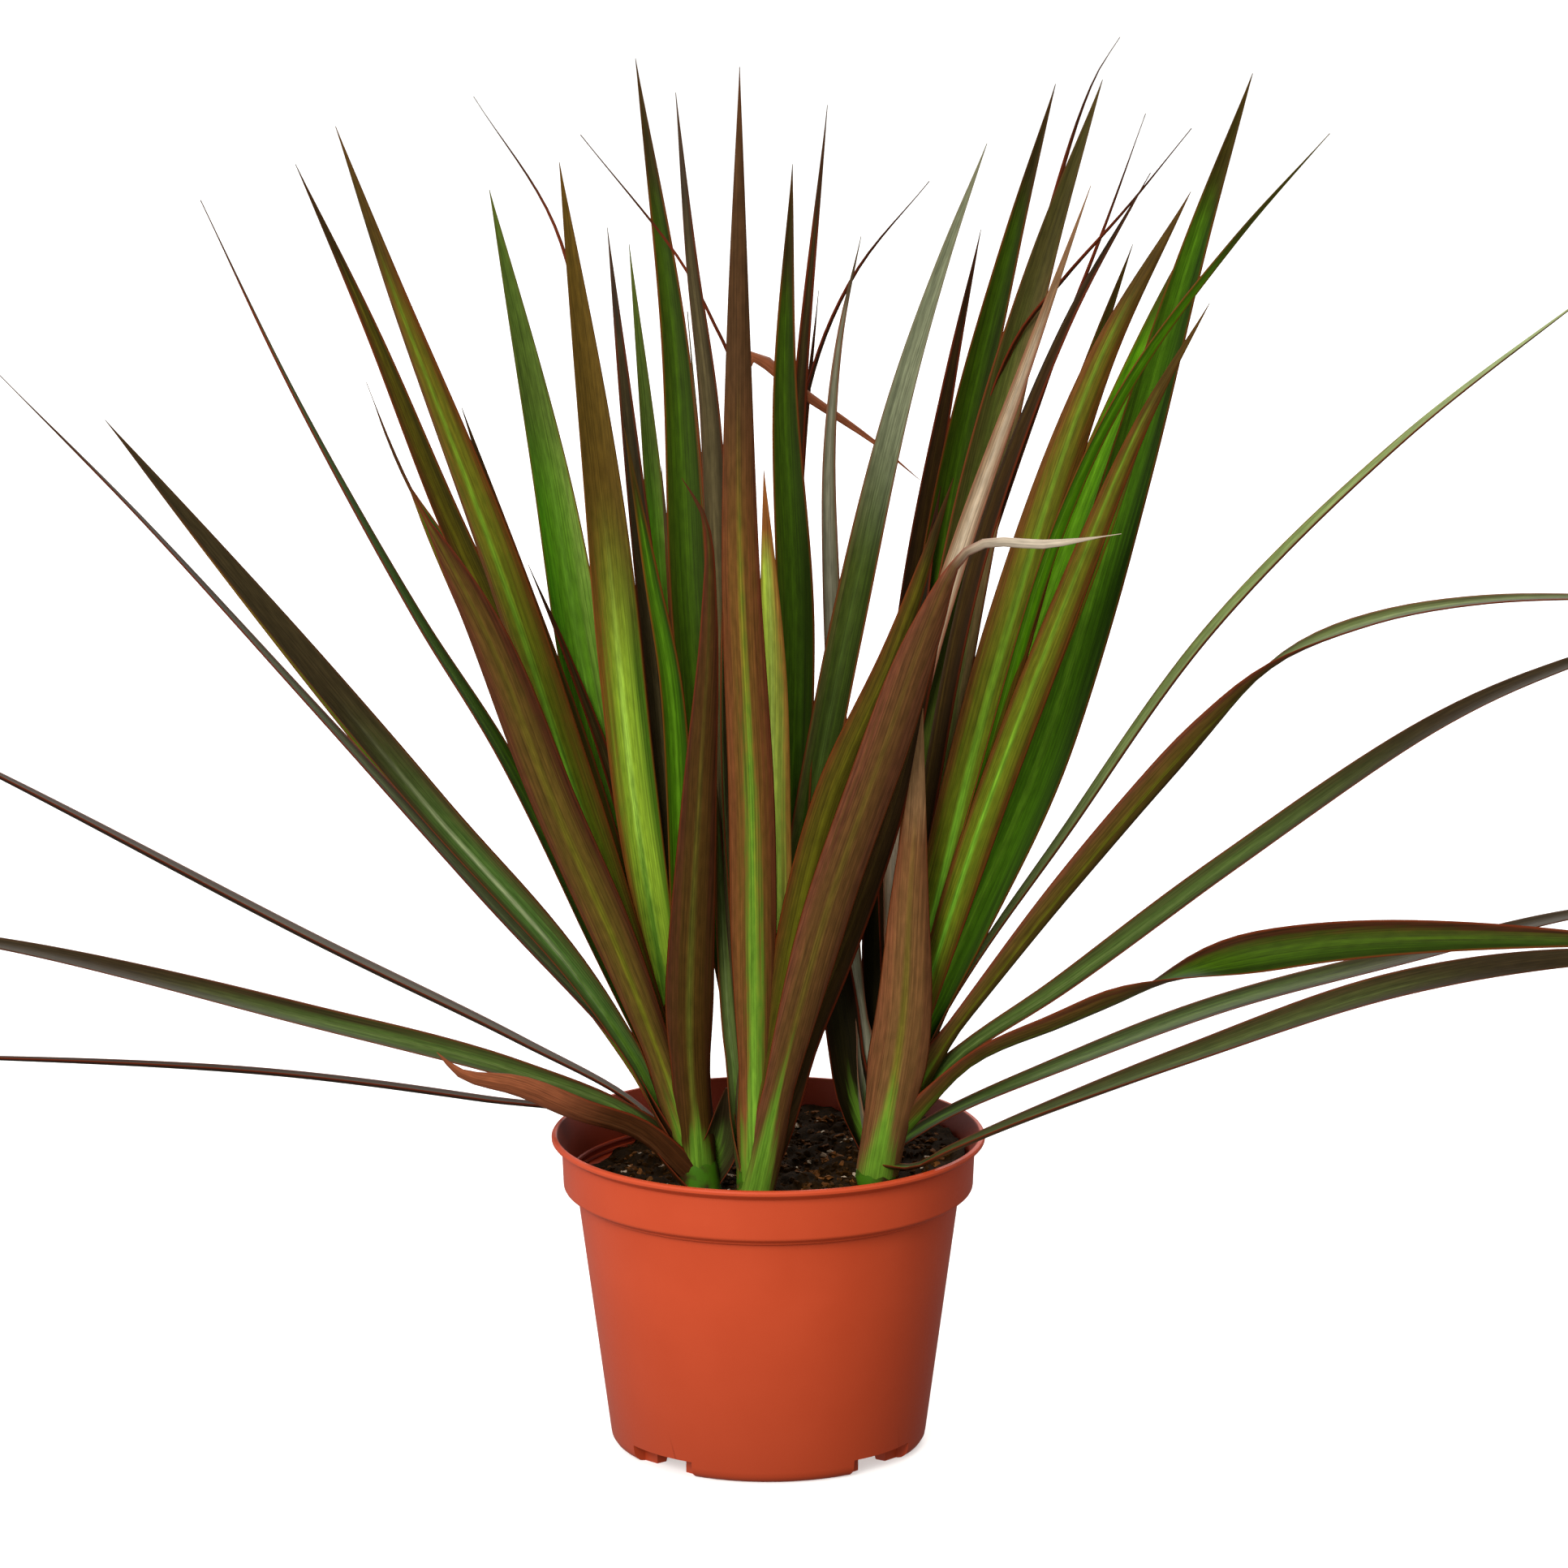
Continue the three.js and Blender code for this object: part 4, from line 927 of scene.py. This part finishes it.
def make_mix():
    """The mix and the three kinds of pieces that lie on it."""
    body = make_mix_body()
    tree = scatter_tree()
    reach = (BODY_TOP_RADIUS - WALL - CHIP_MARGIN) * MM
    kinds = {
        "peat_crumbs": {"size": 1.7 * MM, "flatness": 0.8, "count_per_square_metre": 150000, "seed": 3,
                        "material": mix_pieces("peat_crumb", "#110A02", "#482C10", 0.95)},
        "bark_chips": {"size": 2.4 * MM, "flatness": 0.4, "count_per_square_metre": 32000, "seed": 5,
                       "material": mix_pieces("composted_bark", "#3E220A", "#885428", 0.85)},
        "pale_grit": {"size": 1.9 * MM, "flatness": 0.6, "count_per_square_metre": 14000, "seed": 9,
                      "material": mix_pieces("pale_grit", "#8A715C", "#D2BFA6", 0.9)},
    }
    for name, sizes in kinds.items():
        chips = new_object(name, body.data.copy())
        grow(chips, tree, reach=reach, **sizes)
        keep(chips, "potting_mix")
    keep(body, "potting_mix", "potting_mix")


# Shoots

def on_sight_line(reading):
    """The place in space of a point read as an x, a z and a depth."""
    x, z, depth = reading
    share = (depth - EYE[1]) / -EYE[1]
    return EYE + (np.array((x, 0, z)) - EYE) * share


def spline(points, samples_each=24):
    """A smooth line through points that makes no loops between them. Its ends are carried straight on."""
    points = np.asarray(points, float)
    ends = (2 * points[0] - points[1], 2 * points[-1] - points[-2])
    padded = np.vstack((ends[0], points, ends[1]))
    shares = np.linspace(0, 1, samples_each, endpoint=False)[:, None]
    line = []
    for a, b, c, d in zip(padded, padded[1:], padded[2:], padded[3:]):
        before, here, after = (math.sqrt(np.linalg.norm(q - p)) for p, q in ((a, b), (b, c), (c, d)))
        leaving = here * ((b - a) / before - (c - a) / (before + here) + (c - b) / here)
        coming = here * ((c - b) / here - (d - b) / (here + after) + (d - c) / after)
        square = 3 * (c - b) - 2 * leaving - coming
        cube = 2 * (b - c) + leaving + coming
        line.append(b + leaving * shares + square * shares ** 2 + cube * shares ** 3)
    return np.vstack((*line, points[-1]))


def even_steps(line, count):
    """Places spaced evenly along a line, the directions there and the line's length."""
    lengths = np.linalg.norm(np.diff(line, axis=0), axis=1)
    reached = np.concatenate(([0], np.cumsum(lengths)))
    wanted = np.linspace(0, reached[-1], count)
    places = np.column_stack([np.interp(wanted, reached, line[:, axis]) for axis in range(3)])
    return places, unit(np.gradient(places, axis=0)), reached[-1]


def width_share(along, shape):
    """Half the width along a leaf, as a share of half its greatest width."""
    opening = NARROW_SHARE + (1 - NARROW_SHARE) * smooth_step(0, shape["widest"], along)
    past = np.clip((along - shape["taper_from"]) / (shape["taper_to"] - shape["taper_from"]), 0, 1)
    thread = shape["thread"] * (1 - smooth_step(THREAD_ENDS_FROM, 1, along))
    return np.maximum(opening * (1 - past ** shape["power"]), thread)


def leaf_rail(line, width, turns, shape, sheath_radius):
    """What a blade's section needs to know at each step along the leaf's middle line. The leaf is first
    laid with its upper face to the eye, and then turned about that line."""
    length = np.linalg.norm(np.diff(line, axis=0), axis=1).sum()
    count = max(LEAST_STEPS, int(length / STEP_LENGTH))
    places, directions, length = even_steps(line, count)
    along = np.linspace(0, 1, count)
    to_eye = unit(EYE - places)
    front = unit(to_eye - directions * np.sum(to_eye * directions, axis=1)[:, None])
    beside = np.cross(directions, front)
    turned = smooth_step(shape["turn_from"], shape["turn_to"], along)
    angle = np.radians(blend(turns[0], turns[1], turned))[:, None]
    up = front * np.cos(angle) + beside * np.sin(angle)
    upright = smooth_step(SHEATH_FROM, SHEATH_TO, directions[0, 2])
    wrap = upright * (1 - smooth_step(0, SHEATH_LENGTH, along * length))
    half = width / 2 * width_share(along, shape)
    thinned = smooth_step(TIP_FROM, 1, along)
    return {
        "place": places,
        "side": np.cross(directions, up),
        "up": up,
        "half_width": np.maximum(blend(half, sheath_radius * SHEATH_ANGLE, wrap), LEAST_HALF_WIDTH),
        "bend": blend(CHANNEL_ANGLE, SHEATH_ANGLE, wrap),
        "lift": blend(-half * CHANNEL_RISE, -sheath_radius, wrap),
        "thickness": BLADE_THICKNESS * blend(1, TIP_THICKNESS, thinned),
        "along": along,
        "distance": along * length,
    }


def shoot_rails(shoot):
    """The rails of all the leaves of a shoot, and the looks of their upper and lower faces."""
    draw = drawer(shoot["seed"])
    stem = spline(shoot["stem"])
    reach = stem[-1, 2] - stem[0, 2]
    rails = []
    looks = []
    for blade in shoot["leaves"]:
        share = min(HIGHEST_ROOT, blade["height"] / reach)
        root = stem[round(share * (len(stem) - 1))]
        radius = shoot["radius"] * blend(*ROOT_RADII, share)
        points = blade["points"]
        line = spline([root] + [on_sight_line(p) for p in points])
        rails.append(leaf_rail(line, blade["width"], blade["turns"], blade["shape"], radius))
        looks.append(blade["looks"])
        if blade["behind"] is not None:
            depths = np.linspace(root[1], blade["behind"], len(points) + 1)[1:]
            hidden = [(x, z, depth) for (x, z, _), depth in zip(points, depths)]
            turn = (next(draw) * 2 - 1) * BEHIND_TURN
            line = spline([root] + [on_sight_line(p) for p in hidden])
            width = blade["width"] * BEHIND_WIDTH
            rails.append(leaf_rail(line, width, (turn, turn / 2), blade["shape"], radius))
            looks.append(BEHIND_LOOKS)
    return rails, looks


def blade_tree():
    """Sweeps a thin closed section along each rail: a channelled strap that curls into a sheath."""
    tree = nodes_tree("leaf_blades", {"Section points": "Int", "Material": "Material"})
    given = add(tree, "NodeGroupInput").node.outputs
    place = add(tree, "GeometryNodeInputPosition")

    rails = add(tree, "GeometryNodeMeshToCurve", {"Mesh": given["Geometry"]})
    railed = add(tree, "GeometryNodeStoreNamedAttribute",
                 {"Geometry": rails, "Name": "centre", "Value": place},
                 data_type="FLOAT_VECTOR", domain="POINT")
    circle = add(tree, "GeometryNodeCurvePrimitiveCircle",
                 {"Resolution": given["Section points"], "Radius": 1.0})
    ring = add(tree, "GeometryNodeStoreNamedAttribute",
               {"Geometry": circle, "Name": "section", "Value": place},
               data_type="FLOAT_VECTOR", domain="POINT")
    swept = add(tree, "GeometryNodeCurveToMesh",
                {"Curve": railed, "Profile Curve": ring, "Fill Caps": True})

    # The section bends round a circle, whose middle is above the strap, or in the stem for a sheath.
    centre, section, side, up = (
        add(tree, "GeometryNodeInputNamedAttribute", {"Name": name}, data_type="FLOAT_VECTOR")
        for name in ("centre", "section", "side", "up"))
    bend, half_width, lift, thickness = (
        add(tree, "GeometryNodeInputNamedAttribute", {"Name": name}, data_type="FLOAT")
        for name in ("bend", "half_width", "lift", "thickness"))
    across = add(tree, "ShaderNodeSeparateXYZ", {0: section})
    face = across.node.outputs["Y"]
    angle = add(tree, "ShaderNodeMath", {0: across, 1: bend}, operation="MULTIPLY")
    sine = add(tree, "ShaderNodeMath", {0: angle}, operation="SINE")
    cosine = add(tree, "ShaderNodeMath", {0: angle}, operation="COSINE")
    radius = add(tree, "ShaderNodeMath", {0: half_width, 1: bend}, operation="DIVIDE")
    half_thickness = add(tree, "ShaderNodeMath", {0: thickness, 1: 0.5}, operation="MULTIPLY")
    proud = add(tree, "ShaderNodeMath", {0: half_thickness, 1: face}, operation="MULTIPLY")
    inner = add(tree, "ShaderNodeMath", {0: radius, 1: proud}, operation="SUBTRACT")
    sideways = add(tree, "ShaderNodeMath", {0: inner, 1: sine}, operation="MULTIPLY")
    fall = add(tree, "ShaderNodeMath", {0: inner, 1: cosine}, operation="MULTIPLY")
    base = add(tree, "ShaderNodeMath", {0: radius, 1: lift}, operation="ADD")
    upwards = add(tree, "ShaderNodeMath", {0: base, 1: fall}, operation="SUBTRACT")
    side_move = add(tree, "ShaderNodeVectorMath", {0: side, "Scale": sideways}, operation="SCALE")
    up_move = add(tree, "ShaderNodeVectorMath", {0: up, "Scale": upwards}, operation="SCALE")
    move = add(tree, "ShaderNodeVectorMath", {0: side_move, 1: up_move}, operation="ADD")
    to_metres = add(tree, "ShaderNodeVectorMath", {0: move, "Scale": MM}, operation="SCALE")
    where = add(tree, "ShaderNodeVectorMath", {0: centre, 1: to_metres}, operation="ADD")
    shaped = add(tree, "GeometryNodeSetPosition", {"Geometry": swept, "Position": where})

    crossed = add(tree, "GeometryNodeStoreNamedAttribute",
                  {"Geometry": shaped, "Name": "across", "Value": across},
                  data_type="FLOAT", domain="POINT")
    faced = add(tree, "GeometryNodeStoreNamedAttribute",
                {"Geometry": crossed, "Name": "face", "Value": face},
                data_type="FLOAT", domain="POINT")
    rounded = add(tree, "GeometryNodeSetShadeSmooth", {"Geometry": faced, "Shade Smooth": True})
    real = add(tree, "GeometryNodeRealizeInstances", {"Geometry": rounded})
    finished = add(tree, "GeometryNodeSetMaterial", {"Geometry": real, "Material": given["Material"]})
    add(tree, "NodeGroupOutput", {"Geometry": finished})
    return tree


def rail_piece(name, rails):
    """The rails as lines in one mesh, with what their sections need as attributes."""
    places = np.vstack([rail["place"] for rail in rails])
    edges = []
    first = 0
    for rail in rails:
        count = len(rail["place"])
        edges.extend((first + i, first + i + 1) for i in range(count - 1))
        first += count
    piece = new_piece(name, places, [], edges=edges)
    for key in ("side", "up"):
        store(piece.data, key, "FLOAT_VECTOR", np.vstack([rail[key] for rail in rails]))
    for key in ("half_width", "bend", "lift", "thickness", "along", "distance"):
        store(piece.data, key, "FLOAT", np.concatenate([rail[key] for rail in rails]))
    numbers = np.repeat(np.arange(len(rails)), [len(rail["place"]) for rail in rails])
    store(piece.data, "leaf", "FLOAT", numbers)
    return piece


def paint(mesh, looks):
    """Gives each vertex of the leaves the colours of its face, and a place in the leaf's grain. Upper is
    1 on the upper face, 0 on the lower one and a half at the edge. The length of the green foot stays
    above 0, because the material divides by it."""
    number = np.rint(stored(mesh, "leaf")).astype(int)
    upper = 0.5 + 0.5 * np.sign(np.round(stored(mesh, "face"), 3))
    along, across = stored(mesh, "along"), stored(mesh, "across")
    table = np.array([[[linear(c) for c in FACES[look][:5]] for look in pair] for pair in looks])
    starts, feet = (np.array([[FACES[look][part] for look in pair] for pair in looks]) for part in (5, 6))
    colours = blend(table[number, 1], table[number, 0], upper[:, None, None])
    rib, strap, left, right, tip = np.moveaxis(colours, 1, 0)
    rightwards = smooth_step(-SIDES_BLEND, SIDES_BLEND, across * (2 * upper - 1))
    parts = {"rib": rib, "strap": strap, "side": blend(left, right, rightwards[:, None]), "tip": tip}
    for part, values in parts.items():
        store(mesh, part + "_colour", "FLOAT_COLOR", values)
    start, foot = (blend(values[number, 1], values[number, 0], upper) for values in (starts, feet))
    store(mesh, "tip_share", "FLOAT", smooth_step(start, blend(start, 1, TIP_BLEND), along))
    store(mesh, "foot_length", "FLOAT", foot + LEAST_FOOT)
    level = number * GRAIN_BETWEEN_LEAVES + upper * GRAIN_BETWEEN_FACES
    from_rib = across * stored(mesh, "half_width")
    store(mesh, "grain", "FLOAT_VECTOR", np.column_stack((from_rib, stored(mesh, "distance"), level)))
    for name in ("side", "up", "bend", "lift", "thickness", "centre", "section"):
        mesh.attributes.remove(mesh.attributes[name])


def make_stem(name, shoot, material):
    """The stem with low rings where old leaves have come away, from its hole to its point."""
    foot = np.array(shoot["stem"][0], float)
    line = np.vstack((foot - (0, 0, STEM_DEPTH), spline(shoot["stem"])))
    places, _, length = even_steps(line, STEM_STEPS)
    along = np.linspace(0, 1, STEM_STEPS)
    rings = 0.5 + 0.5 * np.cos(along * length / RING_SPACING * 2 * math.pi)
    flare = smooth_step(*FLARE_OPENS, along) * (1 - smooth_step(*FLARE_CLOSES, along))
    pointed = blend(1, POINT_SHARE, smooth_step(POINT_FROM, 1, along))
    radii = shoot["radius"] * (STEM_SHARE + RING_SHARE * rings + FLARE_SHARE * flare) * pointed
    points = [places[0]]
    for (x, y, z), radius in zip(places, radii):
        ring = (around(radius, a) for a in all_round(STEM_SIDES))
        points.extend((x + dx, y + dy, z) for dx, dy in ring)
    points.append(places[-1] + (0, 0, POINT_CAP))
    stem = new_piece("stem_" + name, points, skin(len(points), STEM_SIDES), [material])
    keep(stem, "leaf", "shoot_" + name)


def make_shoots():
    """The three shoots, each with all its leaves as one piece and its stem as another."""
    leaf_material = waxy_leaf()
    stem_material = sheathed_stem()
    tree = blade_tree()
    for name, shoot in SHOOTS.items():
        rails, looks = shoot_rails(shoot)
        leaves = rail_piece("leaves_" + name, rails)
        grow(leaves, tree, section_points=SECTION_POINTS, material=leaf_material)
        paint(leaves.data, looks)
        keep(leaves, "leaf", "shoot_" + name)
        make_stem(name, shoot, stem_material)


# Stage

def make_floor():
    """A plain pale floor that reaches past the camera's view. It throws no light back on the plant, so
    that the leaves stay dark underneath, as in the photo."""
    reach = 12000
    corners = [(-reach, -reach, 0), (reach, -reach, 0), (reach, reach, 0), (-reach, reach, 0)]
    material, _, shader = new_material("pale_matt_floor")
    feed(shader, {"Base Color": linear("#F6F5F2"), "Roughness": 0.9})
    floor = new_piece("floor", corners, [(0, 1, 2, 3)], [material])
    floor.visible_diffuse = False
    floor.visible_glossy = False
    return floor


def make_light(name, place, aim, size, power):
    """A square soft light at a place in millimetres, turned to a point on the plant."""
    light = bpy.data.lights.new(name, "AREA")
    light.size = size * MM
    light.energy = power
    lamp = new_object(name, light)
    lamp.location = Vector(place) * MM
    lamp.rotation_euler = (Vector(aim) - Vector(place)).to_track_quat("-Z", "Y").to_euler()


def make_floor_wash(floor, power):
    """A light for the floor alone, which keeps it white far behind the plant, as in a bright studio.
    It shines straight down, and nothing but the floor itself is in its way."""
    lit = bpy.data.collections.new("lit_by_wash")
    lit.objects.link(floor)
    light = bpy.data.lights.new("floor_wash", "SUN")
    light.energy = power
    lamp = new_object("floor_wash", light)
    lamp.light_linking.receiver_collection = lit
    lamp.light_linking.blocker_collection = lit


def make_surroundings():
    """A dim even room, brighter overhead and towards the key light, and darkest low on the right."""
    world = bpy.data.worlds.new("studio")
    world.use_nodes = True
    tree = world.node_tree
    look = add(tree, "ShaderNodeTexCoord", output="Generated")
    brighter_towards = (-0.22, -0.06, 0.3)
    even_level = 0.46
    towards = add(tree, "ShaderNodeVectorMath", {0: look, 1: brighter_towards}, output="Value",
                  operation="DOT_PRODUCT")
    level = add(tree, "ShaderNodeMath", {0: towards, 1: even_level}, operation="ADD")
    feed(tree.nodes["Background"], {"Color": linear("#FFFFFF"), "Strength": level})
    bpy.context.scene.world = world


def make_lights(floor):
    """A key light from the front left, a weak fill from the right, one from behind and the floor's own."""
    aim = (0, 0, 150)
    make_light("key", (-620, -1500, 1000), aim, size=800, power=23)
    make_light("fill", (1500, -700, 700), aim, size=1200, power=1.6)
    make_light("back", (300, 1400, 1300), aim, size=1000, power=18)
    make_floor_wash(floor, power=1.7)
    make_surroundings()


def make_camera():
    """The photograph's camera: its place and its lens were worked out from the rim and the foot."""
    camera = bpy.data.cameras.new("camera")
    camera.sensor_width = SENSOR
    camera.lens = SENSOR * FOCAL_PIXELS / PHOTO_SIZE
    camera.clip_end = FARTHEST_SEEN * MM
    seat = new_object("camera", camera)
    seat.location = Vector(EYE) * MM
    seat.rotation_euler = (math.radians(90 - CAMERA_DOWN), 0, 0)
    bpy.context.scene.camera = seat


bpy.context.scene.view_settings.view_transform = "Standard"
make_camera()
make_pot()
make_mix()
make_shoots()
make_lights(make_floor())

bpy.context.view_layer.update()
